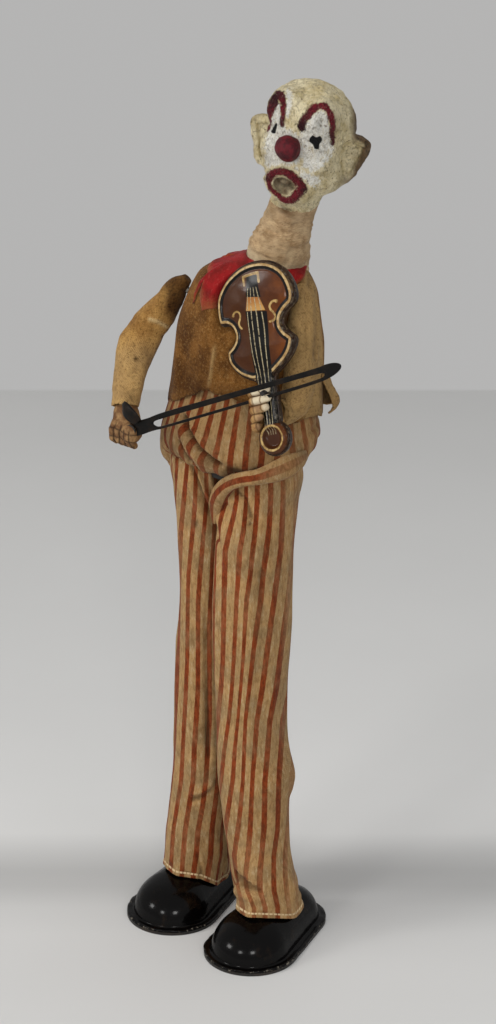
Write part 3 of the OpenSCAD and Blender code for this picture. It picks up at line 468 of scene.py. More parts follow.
class Finish:
    """A node material while it is being mixed. Sizes are in millimetres."""

    def __init__(self, name, **sockets):
        self.material = bpy.data.materials.new(name)
        self.material.use_nodes = True
        self.nodes, self.links = self.material.node_tree.nodes, self.material.node_tree.links
        self.shader = self.nodes["Principled BSDF"]
        for key, value in sockets.items():
            self.shader.inputs[key.replace("_", " ")].default_value = value
        self.place = self.add("TexCoord").outputs["Object"]

    def add(self, kind, **settings):
        node = self.nodes.new("ShaderNode" + kind)
        for key, value in settings.items():
            setattr(node, key, value)
        return node

    def feed(self, node, socket, value):
        target = node.inputs[socket]
        if isinstance(value, bpy.types.NodeSocket):
            self.links.new(value, target)
        elif isinstance(value, str):
            target.default_value = tint(value)
        else:
            target.default_value = value

    def calc(self, operation, a, b=0.0, c=None):
        node = self.add("Math", operation=operation)
        self.feed(node, 0, a)
        self.feed(node, 1, b)
        if c is not None:
            self.feed(node, 2, c)
        return node.outputs[0]

    def times(self, a, b):
        return self.calc("MULTIPLY", a, b)

    def scaled(self, a, by, more):
        return self.calc("MULTIPLY_ADD", a, by, more)

    def plus(self, a, b):
        return self.calc("ADD", a, b)

    def less(self, a, b):
        return self.calc("SUBTRACT", a, b)

    def off_middle(self, value):
        """How far a value lies from the middle between two whole numbers."""
        return self.calc("ABSOLUTE", self.less(self.calc("FRACT", value), 0.5))

    def band(self, value, low, high):
        """0 below low, 1 above high, smooth between; the other way round if low is the larger."""
        node = self.add("MapRange", interpolation_type="SMOOTHSTEP")
        self.feed(node, "Value", value)
        up = low < high
        node.inputs["From Min"].default_value = low if up else high
        node.inputs["From Max"].default_value = high if up else low
        node.inputs["To Min"].default_value = 0.0 if up else 1.0
        node.inputs["To Max"].default_value = 1.0 if up else 0.0
        return node.outputs[0]

    def mix(self, share, a, b):
        node = self.add("Mix", data_type="RGBA")
        self.feed(node, 0, share)
        self.feed(node, 6, a)
        self.feed(node, 7, b)
        return node.outputs[2]

    def over(self, body, colour, share, by):
        """A colour laid over another, where its share is above 0."""
        return self.mix(self.times(share, by), body, colour)

    def mark(self, name):
        return self.add("Attribute", attribute_name=name).outputs["Fac"]

    def stretch(self, by):
        node = self.add("Mapping")
        self.links.new(self.place, node.inputs["Vector"])
        node.inputs["Scale"].default_value = by
        return node.outputs[0]

    def noise(self, size, detail=3.0, rough=0.55, where=None, warp=0.0):
        node = self.add("TexNoise")
        self.links.new(where or self.place, node.inputs["Vector"])
        node.inputs["Scale"].default_value = 1000 / size
        node.inputs["Detail"].default_value = detail
        node.inputs["Roughness"].default_value = rough
        node.inputs["Distortion"].default_value = warp
        return node.outputs["Fac"]

    def cell_edges(self, size, wobble):
        """Distance from the edges of cells that lie at uneven places."""
        node = self.add("TexVoronoi", feature="DISTANCE_TO_EDGE")
        push = self.add("VectorMath", operation="MULTIPLY_ADD")
        noise = self.add("TexNoise")
        self.links.new(self.place, noise.inputs["Vector"])
        noise.inputs["Scale"].default_value = 1000 / size * 1.7
        noise.inputs["Detail"].default_value = 3
        self.links.new(noise.outputs["Color"], push.inputs[0])
        push.inputs[1].default_value = (wobble * MM,) * 3
        self.links.new(self.place, push.inputs[2])
        self.links.new(push.outputs[0], node.inputs["Vector"])
        node.inputs["Scale"].default_value = 1000 / size
        return node.outputs["Distance"]

    def sheet_place(self):
        """Across and along a piece of cloth, in millimetres."""
        split = self.add("SeparateXYZ")
        self.links.new(self.add("UVMap").outputs[0], split.inputs[0])
        return split.outputs[0], split.outputs[1]

    def weave(self, across, along_it, thread):
        """Over and under of a plain weave, from 0 to 1."""
        a = self.calc("SINE", self.times(across, 2 * math.pi / thread))
        b = self.calc("SINE", self.times(along_it, 2 * math.pi / thread))
        return self.scaled(self.times(a, b), 0.5, 0.5)

    def bump(self, *layers):
        """Layers of (height, millimetres), the first one deepest down."""
        normal = None
        for height, depth in layers:
            node = self.add("Bump")
            self.links.new(height, node.inputs["Height"])
            node.inputs["Strength"].default_value = 1.0
            node.inputs["Distance"].default_value = depth * MM
            if normal is not None:
                self.links.new(normal, node.inputs["Normal"])
            normal = node.outputs[0]
        self.links.new(normal, self.shader.inputs["Normal"])

    def color(self, value):
        self.feed(self.shader, "Base Color", value)

    def rough(self, value):
        self.feed(self.shader, "Roughness", value)


def coloured(name, make, *args):
    """A finish is made once."""
    return bpy.data.materials.get(name) or make(name, *args)


def cover(piece, material):
    piece.data.materials.clear()
    piece.data.materials.append(material)


def metal_finish(name, base, dark, rough, metallic, grime):
    f = Finish(name, Metallic=metallic)
    cloud = f.noise(6, 4, 0.6)
    spots = f.noise(0.9, 3, 0.65)
    worn = f.band(f.scaled(cloud, 0.6, f.times(spots, 0.4)), 0.46, 0.66)
    f.color(f.mix(f.times(worn, grime), base, dark))
    f.rough(f.scaled(spots, 0.25, rough - 0.1))
    lines = f.noise(0.35, 2, 0.6, f.stretch((1, 1, 0.12)))
    f.bump((cloud, 0.05), (lines, 0.012))
    return f.material


def black_tin_finish(name):
    """Black enamel on tin, with brown scuffs, and bare chips on its rim."""
    f = Finish(name, Coat_Weight=0.28, Coat_Roughness=0.13, Specular_IOR_Level=0.02)
    wide, fine = f.noise(5, 5, 0.62), f.noise(0.45, 4, 0.7)
    scuff = f.band(wide, 0.54, 0.74)
    f.color(f.mix(f.band(fine, 0.68, 0.8), f.mix(f.times(scuff, 0.7), "050404", "1f150c"), "27211b"))
    rim = f.mark("rim")
    bare = f.band(f.scaled(f.noise(1.1, 5, 0.75), 0.75, f.times(rim, 0.2)), 0.6, 0.68)
    chips = f.times(bare, f.band(rim, 0.35, 0.95))
    base = f.shader.inputs["Base Color"].links[0].from_socket
    f.color(f.mix(f.times(chips, 0.8), base, "857d70"))
    f.rough(f.scaled(f.plus(scuff, f.band(fine, 0.5, 0.8)), 0.22, 0.24))
    f.bump((wide, 0.3), (f.noise(1.6, 3, 0.5), 0.1), (fine, 0.012), (chips, 0.04))
    return f.material


def stripe_finish(name):
    """Striped cotton: across is in stripes and along in millimetres."""
    cloth = bpy.context.scene.clown_cloth
    cream, rust = (*cloth.cream, 1), (*cloth.rust, 1)
    f = Finish(name, Sheen_Weight=0.04, Sheen_Roughness=0.5, Specular_IOR_Level=0.08)
    across, down = f.sheet_place()
    wide = f.noise(7, 4, 0.6)
    fine = f.noise(0.5, 3, 0.7)
    moved = f.scaled(f.less(f.noise(2.2, 3, 0.6), 0.5), 0.09, across)
    near = f.off_middle(moved)
    stripe = f.band(f.scaled(f.less(fine, 0.5), 0.05, near), 0.228, 0.178)
    patchy = f.scaled(f.band(wide, 0.42, 0.7), -0.28, 1.0)
    strength = f.times(patchy, f.scaled(f.mark("fade"), -0.72, 1.0))
    weave = f.weave(f.times(across, 3.4), down, 0.42)
    body = f.mix(f.band(wide, 0.35, 0.7), cream, "967b56")
    body = f.over(body, "856540", f.band(f.noise(2.4, 4, 0.65), 0.5, 0.75), 0.5)
    threads = f.noise(0.75, 4, 0.75, f.stretch((1, 1, 0.3)))
    body = f.over(body, "6b4c2c", f.band(threads, 0.5, 0.62), 0.42)
    body = f.over(body, "c3ae8b", f.band(threads, 0.46, 0.36), 0.4)
    rusty = f.mix(f.band(threads, 0.4, 0.62), rust, "652c14")
    body = f.mix(f.times(stripe, strength), body, rusty)
    # This mark lays dirt and painted shade.
    body = f.over(body, "3a2413", f.mark("soil_and_shade"), 0.85)
    body = f.over(body, "5a3d20", f.band(weave, 0.35, 0.0), 0.34)
    seam = f.band(f.calc("ABSOLUTE", f.less(down, f.mark("stitch"))), 0.3, 0.16)
    hem = f.times(seam, f.band(f.off_middle(f.times(across, 3.1)), 0.42, 0.36))
    body = f.mix(hem, body, "cdb48c")
    f.color(body)
    f.rough(f.scaled(fine, 0.2, 0.75))
    f.bump((f.noise(1.4, 4, 0.6), 0.09), (weave, 0.03), (fine, 0.03), (hem, 0.08))
    return f.material


def wool_finish(name, base=None, dark="523214", pale="b0905f"):
    """Coarse cloth with stains and painted shade, tan as a rule."""
    base = base or (*bpy.context.scene.clown_cloth.wool, 1)
    f = Finish(name, Sheen_Weight=0.05, Sheen_Roughness=0.45, Specular_IOR_Level=0.06)
    across, down = f.sheet_place()
    wide, fine = f.noise(8, 5, 0.6), f.noise(0.42, 3, 0.7)
    weave = f.weave(across, down, 0.62)
    body = f.mix(f.band(wide, 0.36, 0.66), base, dark)
    body = f.over(body, pale, f.mark("pale"), 0.9)
    body = f.over(body, dark, f.band(f.noise(1.8, 4, 0.7), 0.52, 0.74), 0.5)
    body = f.over(body, "4a3018", f.band(weave, 0.45, 0.05), 0.4)
    knots = f.noise(0.62, 4, 0.75)
    body = f.over(body, "442c13", f.band(knots, 0.52, 0.62), 0.5)
    body = f.over(body, "b8955e", f.band(knots, 0.46, 0.38), 0.26)
    # This mark lays dirt and painted shade.
    body = f.mix(f.times(f.mark("soil_and_shade"), 0.92), body, f.mix(f.band(knots, 0.45, 0.6), "42270f", "26150a"))
    f.color(body)
    f.rough(f.scaled(fine, 0.15, 0.82))
    f.bump((f.noise(2.2, 4, 0.6), 0.2), (knots, -0.22), (weave, 0.07), (fine, 0.05))
    return f.material


def felt_finish(name):
    """Red felt, worn thin near its edge and pink with fuzz."""
    f = Finish(name, Sheen_Weight=0.12, Sheen_Roughness=0.4, Specular_IOR_Level=0.06)
    wide, fine = f.noise(3.5, 5, 0.62), f.noise(0.36, 4, 0.72)
    hairs = f.noise(0.9, 4, 0.7, f.stretch((1, 1, 0.35)), 1.5)
    body = f.mix(f.band(wide, 0.38, 0.68), (*bpy.context.scene.clown_cloth.felt, 1), "6b1a17")
    body = f.over(body, "b5524a", f.band(hairs, 0.55, 0.75), 0.6)
    edge = f.band(f.scaled(fine, 1.2, f.mark("edge")), 1.25, 0.55)
    body = f.over(body, "8a5a36", edge, 0.55)
    # This mark lays painted shadow.
    body = f.over(body, "3a1512", f.mark("soil_and_shade"), 0.8)
    f.color(body)
    f.rough(f.scaled(fine, 0.1, 0.88))
    f.bump((wide, 0.12), (hairs, 0.1), (fine, 0.07))
    return f.material


def moulded_finish(name):
    """Painted pulp for the face: cream with cracks and specks, and its paint by marks."""
    f = Finish(name, Specular_IOR_Level=0.2, Coat_Weight=0.04, Coat_Roughness=0.4)
    wide, mid, fine = f.noise(5, 5, 0.6), f.noise(1.3, 4, 0.65), f.noise(0.4, 4, 0.7)
    edge = f.times(f.less(mid, 0.5), 1.3)
    body = f.mix(f.band(wide, 0.38, 0.64), "e8dbb6", "cdbb8c")
    body = f.over(body, "e6dcbc", f.band(fine, 0.5, 0.66), 0.55)
    strokes = f.noise(0.7, 5, 0.75, f.stretch((1.6, 0.7, 0.45)), 1.2)
    body = f.over(body, "806a42", f.band(strokes, 0.52, 0.64), 0.5)
    cracks = f.band(f.cell_edges(1.5, 1.6), 0.06, 0.0)
    cracks = f.times(cracks, f.band(f.noise(2.2, 4, 0.6), 0.46, 0.6))
    thin = f.scaled(f.band(strokes, 0.5, 0.66), -0.75, 0.95)
    brushed = f.scaled(f.less(strokes, 0.5), 4.5, f.times(edge, 2.2))
    white = f.times(f.band(f.plus(f.mark("white"), brushed), 0.3, -0.5), thin)
    body = f.mix(white, body, f.mix(f.band(fine, 0.35, 0.6), "d6d3c9", "f4f2eb"))
    # A painted shadow above the right eye.
    body = f.over(body, "8b8a85", f.mark("painted_shadow_above_eye"), 0.55)
    body = f.over(body, "6d5634", cracks, 0.5)
    body = f.over(body, "5a4125", f.band(f.noise(0.8, 3, 0.65), 0.6, 0.68), 0.75)
    # This mark lays dirt and painted shade.
    body = f.mix(f.times(f.mark("soil_and_shade"), 0.9), body, f.mix(f.band(strokes, 0.42, 0.6), "5a3a20", "2a170b"))
    ragged = f.scaled(f.less(strokes, 0.5), 2.6, f.times(edge, 0.8))
    red = f.band(f.plus(ragged, f.mark("red")), 0.14, -0.1)
    red = f.times(red, f.scaled(f.band(strokes, 0.4, 0.33), -0.6, 1.0))
    crimson = f.mix(f.band(fine, 0.4, 0.62), "771624", "4c0c15")
    crimson = f.over(crimson, "2a060b", f.band(strokes, 0.5, 0.62), 0.7)
    crimson = f.over(crimson, "22050a", f.mark("maroon"), 0.9)
    body = f.mix(red, body, crimson)
    black = f.band(f.scaled(edge, 0.25, f.mark("black")), 0.1, -0.08)
    body = f.mix(black, body, "08080a")
    f.color(body)
    f.rough(f.scaled(red, -0.12, f.scaled(fine, 0.25, 0.52)))
    f.bump((wide, 0.4), (f.noise(1.0, 5, 0.75, warp=1.0), 0.75), (strokes, -0.16), (cracks, -0.2),
           (fine, 0.12), (red, 0.1))
    return f.material


def skin_wrap_finish(name):
    """The wrapped neck: tan fibres over pale stuffing."""
    f = Finish(name, Specular_IOR_Level=0.08, Sheen_Weight=0.05)
    wide, fine = f.noise(3.5, 5, 0.62), f.noise(0.4, 4, 0.72)
    threads = f.noise(0.8, 5, 0.7, f.stretch((0.4, 0.4, 1.5)), 2.0)
    body = f.mix(f.band(wide, 0.36, 0.66), "c0a27c", "9b7c58")
    body = f.over(body, "cfb68e", f.band(threads, 0.5, 0.7), 0.65)
    body = f.over(body, "5f4325", f.band(threads, 0.46, 0.34), 0.55)
    body = f.over(body, "cdbd9c", f.mark("pale"), 0.8)
    # This mark lays painted shade.
    body = f.over(body, "3c2514", f.mark("soil_and_shade"), 0.85)
    f.color(body)
    f.rough(0.86)
    f.bump((wide, 0.3), (threads, 0.35), (fine, 0.1))
    return f.material


def nose_finish(name):
    f = Finish(name, Specular_IOR_Level=0.3)
    wide, fine = f.noise(1.8, 4, 0.65), f.noise(0.4, 4, 0.7)
    body = f.mix(f.band(wide, 0.4, 0.62), "5c0c18", "38070f")
    f.color(f.mix(f.times(f.band(fine, 0.58, 0.78), 0.35), body, "7c2c36"))
    f.rough(f.scaled(fine, 0.3, 0.42))
    f.bump((wide, 0.3), (fine, 0.1))
    return f.material


def hand_finish(name, light, dark):
    """Painted pulp hands, with painted shade in the cuts between their fingers."""
    f = Finish(name, Specular_IOR_Level=0.22)
    wide, fine = f.noise(2.6, 4, 0.62), f.noise(0.35, 4, 0.7)
    body = f.mix(f.band(wide, 0.38, 0.64), light, dark)
    body = f.over(body, "d9ccb0", f.mark("pale"), 0.9)
    body = f.over(body, "4a2f18", f.band(fine, 0.58, 0.76), 0.5)
    # Painted shade: dark in the cuts and creases.
    body = f.mix(f.mark("cut"), body, "20120a")
    f.color(body)
    f.rough(f.scaled(fine, 0.25, 0.6))
    f.bump((wide, 0.25), (fine, 0.09))
    return f.material


def fiddle_finish(name):
    """Printed tin: brown lacquer, and a cream edge between dark lines. The marks are distances."""
    f = Finish(name, Coat_Weight=0.22, Coat_Roughness=0.14, Specular_IOR_Level=0.12)
    wide, mid, fine = f.noise(6, 5, 0.6), f.noise(1.2, 4, 0.6), f.noise(0.3, 3, 0.7)
    wob = f.times(f.less(mid, 0.5), 0.16)
    brown = f.mix(f.mark("warm"), "3b200c", "6c3810")
    body = f.mix(f.times(f.band(wide, 0.42, 0.66), 0.6), brown, "33160a")
    body = f.mix(f.band(f.mark("amber"), 0.1, -0.1), body, f.mix(f.mark("amber_low"), "9c6430", "b98d50"))
    rim = f.plus(f.mark("rim"), wob)
    body = f.mix(f.band(rim, -1.95, -1.7), body, "0a0605")
    body = f.mix(f.band(rim, -1.1, -0.95), body, f.mix(f.band(mid, 0.4, 0.6), "9c7b4c", "bea273"))
    body = f.mix(f.band(rim, -0.5, -0.36), body, f.mix(f.band(mid, 0.45, 0.62), "2a190f", "5d4426"))
    body = f.mix(f.band(f.mark("black"), 0.06, -0.06), body, "070605")
    line = f.off_middle(f.mark("string"))
    strings = f.times(f.band(line, 0.14, 0.06), f.mark("strung"))
    strings = f.times(strings, f.band(f.noise(0.9, 4, 0.7), 0.66, 0.5))
    body = f.mix(strings, body, f.mix(f.band(fine, 0.35, 0.65), "b5aa8c", "857453"))
    body = f.mix(f.band(f.plus(f.mark("gold"), wob), 0.06, -0.06), body,
                 f.mix(f.band(mid, 0.4, 0.6), "b89a62", "8a6d3e"))
    worn = f.band(f.scaled(f.noise(0.8, 5, 0.75), 0.8, f.times(f.mark("worn"), 0.22)), 0.6, 0.68)
    body = f.over(body, "736a5c", worn, 0.6)
    f.color(body)
    f.rough(f.scaled(worn, 0.3, f.scaled(wide, 0.2, 0.22)))
    f.bump((wide, 0.12), (strings, 0.03), (worn, -0.02), (fine, 0.006))
    return f.material


def bow_finish(name):
    f = Finish(name, Coat_Weight=0.08, Coat_Roughness=0.3, Specular_IOR_Level=0.12)
    wide, fine = f.noise(3, 5, 0.62), f.noise(0.5, 4, 0.7)
    body = f.mix(f.band(wide, 0.45, 0.7), "090807", "1e140d")
    f.color(f.mix(f.times(f.band(fine, 0.66, 0.76), 0.5), body, "544a40"))
    f.rough(f.scaled(fine, 0.3, 0.32))
    f.bump((wide, 0.12), (fine, 0.02))
    return f.material


# The floor's tone by distance from below the camera, in millimetres, with painted shade: the dark band from
# 705 to 734 is a painted shadow across the floor, and the tones that grow darker further back are painted
# shade too
FLOOR_TONES_WITH_PAINTED_SHADE = [(560, 0.66), (640, 0.665), (690, 0.67), (705, 0.61), (716, 0.5), (725, 0.48), (734, 0.56),
               (747, 0.7), (767, 0.705), (835, 0.66), (912, 0.635), (1004, 0.605), (1076, 0.575),
               (1122, 0.56)]
# The part of those distances that the floor's ramp spans
RAMP_FROM, RAMP_SPAN = 550, 600


def floor_finish(name, props):
    """A pale paper sweep with the shadow on it, and painted shade: a soft painted shadow band across it and
    darker tones further back; it ends in the backdrop's tone.
    """
    f = Finish(name, Specular_IOR_Level=0.1, Roughness=0.85)
    far = f.add("VectorMath", operation="DOT_PRODUCT")
    f.links.new(f.place, far.inputs[0])
    far.inputs[1].default_value = (-math.sin(AROUND), math.cos(AROUND), 0)
    start = float(EYE[:2] @ [-math.sin(AROUND), math.cos(AROUND)])
    share = f.scaled(far.outputs["Value"], 1 / (RAMP_SPAN * MM), -(start + RAMP_FROM) / RAMP_SPAN)
    ramp = f.add("ValToRGB")
    stops = ramp.color_ramp.elements
    while len(stops) < len(FLOOR_TONES_WITH_PAINTED_SHADE):
        stops.new(0.5)
    for stop, (at, value) in zip(sorted(stops, key=lambda e: e.position), FLOOR_TONES_WITH_PAINTED_SHADE):
        stop.position = (at - RAMP_FROM) / RAMP_SPAN
        value *= props.floor_tone
        stop.color = (value, value * 0.992, value * 0.975, 1)
    f.links.new(share, ramp.inputs[0])
    f.color(f.mix(f.times(f.noise(90, 3, 0.5), 0.12), ramp.outputs["Color"], "8c8b88"))
    f.bump((f.noise(1.2, 3, 0.6), 0.02))
    beyond = f.times(f.band(share, 0.951, 0.957), watched_ray(f.nodes, f.links, f.add("LightPath")))
    glow, either = f.add("Emission"), f.add("MixShader")
    glow.inputs["Color"].default_value = (*props.backdrop, 1)
    f.links.new(beyond, either.inputs[0])
    f.links.new(f.shader.outputs[0], either.inputs[1])
    f.links.new(glow.outputs[0], either.inputs[2])
    f.links.new(either.outputs[0], f.nodes["Material Output"].inputs["Surface"])
    return f.material


# Shoes

FEET = {"right": (-14.35, 4.0, 0.0), "left": (14.35, -4.0, 0.0)}
SOLE_T, SHOE_H, TOE_R, HEEL_R, REACH = 0.8, 10.6, 10.7, 8.9, 19.5


def shoe_outline(n):
    """Centre, direction and radius for n points round a shoe, toe at -Y."""
    tilt = math.asin((TOE_R - HEEL_R) / REACH)
    spots = []
    for a in np.linspace(math.pi - tilt, 2 * math.pi + tilt, n * 5 // 12):
        spots.append((0, -REACH / 2, math.cos(a), math.sin(a), TOE_R))
    for t in np.linspace(0, 1, n // 12 + 2)[1:-1]:
        spots.append((0, -REACH / 2 + t * REACH, math.cos(tilt), math.sin(tilt), TOE_R + t * (HEEL_R - TOE_R)))
    for a in np.linspace(tilt, math.pi - tilt, n * 4 // 12):
        spots.append((0, REACH / 2, math.cos(a), math.sin(a), HEEL_R))
    for t in np.linspace(0, 1, n // 12 + 2)[1:-1]:
        spots.append((0, REACH / 2 - t * REACH, -math.cos(tilt), math.sin(tilt),
                      HEEL_R + t * (TOE_R - HEEL_R)))
    return np.array(spots)


def make_shoe(side):
    spots = shoe_outline(144 if FINE else 96)
    c, n, r = spots[:, :2], spots[:, 2:4], spots[:, 4]
    rows = [(1.9, 0.02, 1), (1.97, 0.25, 1), (1.9, 0.5, 1), (1.2, 0.52, 0.6), (0.5, 0.5, 0.2),
            (0.12, 0.62, 0), (0.0, 0.95, 0), (-0.02, 1.5, 0)]
    grid, rim = [], []
    for out, z, edge in rows:
        grid.append(np.column_stack([c + n * (r + out)[:, None], np.full(len(c), SOLE_T + z)]))
        rim.append(np.full(len(c), float(edge)))
    high = SHOE_H - SOLE_T
    for phi in np.radians(np.linspace(12, 90, 26)):
        wide, up = math.cos(phi) ** 0.72, math.sin(phi) ** 0.94
        if phi > 1.57:
            wide = 0.02
        grid.append(np.column_stack([c * [1, 0.55 + 0.45 * wide] + n * ((r - 0.1) * wide)[:, None],
                                     np.full(len(c), SOLE_T + 0.4 + (high - 0.4) * up)]))
        rim.append(np.zeros(len(c)))
    grid, rim = np.array(grid), np.array(rim)
    place = np.array(FEET[side])
    dents = lumps(grid + place, 2.6, 3) * 0.6 + lumps(grid + place, 1.1, 4) * 0.4
    grid[..., 2] += np.where(rim > 0.5, 0.28, 0.05) * dents * (rim > 0)
    push = rim[..., None] * 0.22 * lumps(grid + place, 3.0, 5)[..., None]
    grid[..., :2] += push * n[None]
    grid[..., 2] += 0.12 * lumps(grid + place, 5, 6) * (rim == 0)
    grid[..., 2] = np.maximum(grid[..., 2], SOLE_T + 0.01)
    piece = weave_grid(side + "_shoe", grid + place, True, marks={"rim": rim})
    with opened(piece) as mesh:
        top = [e for e in mesh.edges if e.is_boundary and e.verts[0].co.z > 4 * MM]
        bmesh.ops.holes_fill(mesh, edges=top, sides=0)
        bmesh.ops.remove_doubles(mesh, verts=mesh.verts, dist=0.02 * MM)
    thicken(piece, SHOE_TIN)
    shade_smooth(piece)
    cover(piece, coloured("shoe enamel", black_tin_finish))
    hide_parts(side + "_shoe_upper")
    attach(piece, "stand")
    return piece


# Trousers

LEG_ROWS = {
    "left": [[5, 14.9, -4.6, 8.5, 10.6], [9, 14.1, -4.3, 8.1, 10.0], [24, 11.1, -3.2, 7.9, 9],
             [45, 9.0, -2.5, 9.2, 10.4], [66, 7.8, -2.3, 9.0, 10.3], [90, 7.9, -2.2, 9.7, 11.6],
             [112, 8.3, -0.9, 9.6, 12.2], [124, 8.9, 0.4, 9.7, 12.2], [131, 9.4, 1.2, 9.6, 12.0],
             [134, 9.4, 1.6, 8.6, 10.4], [135, 9.2, 2, 7.2, 8.6]],
    "right": [[5, -13.4, 5.4, 8.4, 10.6], [9, -13.2, 5.6, 8.3, 10.0], [24, -12.4, 6.6, 8.7, 9.4],
              [45, -10.1, 6.5, 9.2, 10.2], [66, -9.3, 6.3, 9.0, 10.2], [90, -7.6, 6.6, 9, 11],
              [112, -7.2, 6.2, 9.4, 11.9], [124, -7.4, 4.6, 9.6, 11.5], [131, -7.8, 3.0, 9.6, 10.7],
              [134, -7.8, 2.2, 8.8, 8.9], [135, -7.4, 2.4, 7.4, 7.0]],
}
HEM_H, LEG_TOP = {"left": 7.2, "right": 6.4}, 134.8
# Folds by their lines in the picture, each with its height, width, and width on the far side
LEG_FOLDS = {
    "left": [
        ([(216, 500), (224, 530), (226, 575)], 0.945, 4.5, 2.5),
        ([(222, 492), (240, 512), (247, 545)], 0.81, 4.0, 3.0),
        ([(232, 488), (246, 500), (252, 524)], -1.215, 3.0, 4.5),
        ([(262, 492), (262, 530), (257, 575)], 0.6075, 5.0, 4.0),
        ([(297, 738), (297, 766), (295, 800)], 1.215, 9, 9),
        ([(228, 868), (243, 884), (266, 893)], -1.2825, 2.6, 5.0),
        ([(226, 880), (240, 893), (258, 903)], 1.08, 4.0, 4.0),
        ([(280, 862), (288, 884), (300, 900)], 0.81, 5.0, 6.0),
        ([(241, 640), (250, 700), (246, 770)], 0.54, 6, 4),
        ([(262, 520), (262, 640), (252, 740)], -0.405, 5, 5)],
    "right": [
        ([(184, 440), (198, 474), (213, 511)], 1.485, 3.2, 2.2),
        ([(188, 456), (202, 490), (214, 520)], -1.35, 2.0, 3.0),
        ([(186, 476), (196, 500), (210, 535)], 0.945, 3.5, 3.5),
        ([(203, 462), (212, 482), (216, 505)], 0.945, 3.0, 2.0),
        ([(188, 795), (202, 791), (216, 780)], 1.0125, 3.0, 2.2),
        ([(186, 802), (202, 798), (216, 788)], -0.675, 2.5, 2.5),
        ([(170, 818), (176, 842), (172, 868)], 0.81, 4, 4),
        ([(196, 850), (202, 872), (200, 888)], -0.675, 3, 3),
        ([(206, 600), (207, 700), (209, 780)], -0.81, 3.0, 3.0)],
}
# Stripe centres of each leg, counted across, as they run down its front
TRACKS = {
    "left": [
        [(500, 237), (515, 234), (530, 230), (550, 225), (600, 224), (660, 223), (690, 221), (720, 218),
         (750, 215), (780, 211), (830, 206), (900, 200)],
        [(500, 246), (530, 244), (550, 240), (600, 237), (660, 234), (690, 232), (720, 229), (750, 224),
         (780, 221), (805, 216), (830, 213), (900, 214)],
        [(500, 257), (530, 255), (575, 250), (600, 246), (660, 243), (720, 238), (750, 235), (780, 233),
         (805, 229), (830, 225), (855, 223), (875, 224), (890, 228), (908, 229)],
        [(500, 271), (530, 269), (575, 263), (600, 261), (630, 256), (660, 252), (720, 245), (780, 243),
         (805, 241), (830, 238), (855, 234), (875, 236), (890, 239), (908, 243)],
        [(500, 283), (550, 281), (600, 274), (630, 270), (690, 262), (720, 257), (780, 252), (830, 250),
         (855, 248), (875, 245), (890, 246), (908, 254)],
        [(530, 296), (600, 288), (660, 280), (690, 276), (720, 270), (780, 265), (830, 264), (875, 260),
         (890, 260), (908, 265)],
        [(600, 300), (690, 290), (720, 283), (780, 279), (830, 278), (855, 274), (890, 274), (908, 278)],
        [(720, 296), (780, 292), (855, 285), (875, 285), (900, 288), (908, 289)],
    ],
    "right": [
        [(460, 188), (500, 184), (530, 181), (600, 179), (690, 177), (720, 175), (750, 174), (780, 171),
         (830, 165), (880, 160)],
        [(460, 196), (500, 195), (530, 193), (575, 188), (660, 187), (720, 184), (780, 181), (805, 177),
         (830, 173), (875, 170)],
        [(460, 206), (500, 207), (530, 204), (575, 200), (600, 198), (690, 198), (750, 194), (780, 193),
         (805, 189), (830, 185), (855, 183), (890, 181)],
        [(460, 216), (500, 216), (550, 213), (600, 211), (630, 209), (720, 210), (750, 208), (780, 206),
         (805, 203), (830, 198), (855, 196), (875, 193), (890, 191)],
        [(600, 224), (780, 218), (830, 212), (855, 211), (875, 208), (890, 206)],
    ],
}
STRIPE, SEAT_STRIPES = 3.4, 30


def stripe_place(grid, tracks, facing):
    """Counts stripes across a closed grid: by their tracks where they are seen, by their pitch elsewhere."""
    rows, cols = grid.shape[:2]
    px, py = seen(grid)
    arc = np.concatenate([np.zeros((rows, 1)), np.cumsum(spans_round(grid), 1)], 1)
    out = np.zeros((rows, cols + 1))
    for i in range(rows):
        at = np.array([np.interp(py[i], *np.array(track).T) for track in tracks])
        front = np.where((facing[i] > 0.12) & (px[i] > at[0] - 6) & (px[i] < at[-1] + 6))[0]
        if len(front) < 4:
            out[i] = arc[i] / STRIPE
            continue
        first, last = front[0], front[-1]
        for j in range(first, last + 1):
            x, k = at[:, j], np.arange(len(tracks)) + 0.5
            if px[i, j] < x[0]:
                out[i, j] = k[0] - (x[0] - px[i, j]) / 12.5
            elif px[i, j] > x[-1]:
                out[i, j] = k[-1] + (px[i, j] - x[-1]) / 12.5
            else:
                out[i, j] = np.interp(px[i, j], x, k)
        out[i, last + 1:] = out[i, last] + (arc[i, last + 1:] - arc[i, last]) / STRIPE
        out[i, :first] = out[i, first] + (arc[i, :first] - arc[i, first]) / STRIPE
    return out


def fold_along(px, py, line, wide, far_wide):
    """A fold's height, 0 to 1, by the distance from its line in the picture, steeper on the far side."""
    line = np.asarray(line, float)
    d, share = to_line(np.stack([px, py], -1), line)
    ends = np.minimum(step(share, 0, 0.18), 1 - step(share, 0.82, 1))
    ahead = line[-1] - line[0]
    side = (px - line[0, 0]) * ahead[1] - (py - line[0, 1]) * ahead[0]
    w = np.where(side > 0, wide, far_wide)
    return np.exp(-(d / w) ** 2) * ends


def folded(puff, px, py, share, rows):
    """Adds folds of (line, height, width, width on the far side) to a height, times a share."""
    for line, height, wide, far in rows:
        puff = puff + height * fold_along(px, py, line, wide, far) * share
    return puff


def blot(px, py, x, y, rx, ry):
    """A soft spot in the picture's place, 1 at its middle."""
    return np.exp(-(((px - x) / rx) ** 2 + ((py - y) / ry) ** 2))


def shoe_top(side, x, y):
    """Height of the shoe below each place, in millimetres."""
    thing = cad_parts[side + "_shoe_upper"]
    place = thing.matrix_world
    tree = BVHTree.FromPolygons([place @ v.co for v in thing.data.vertices],
                                [p.vertices for p in thing.data.polygons])
    hits = [tree.ray_cast(Vector((u * MM, v * MM, 0.05)), Vector((0, 0, -1)))[0] for u, v in zip(x, y)]
    return np.array([hit.z / MM if hit else 0.0 for hit in hits])


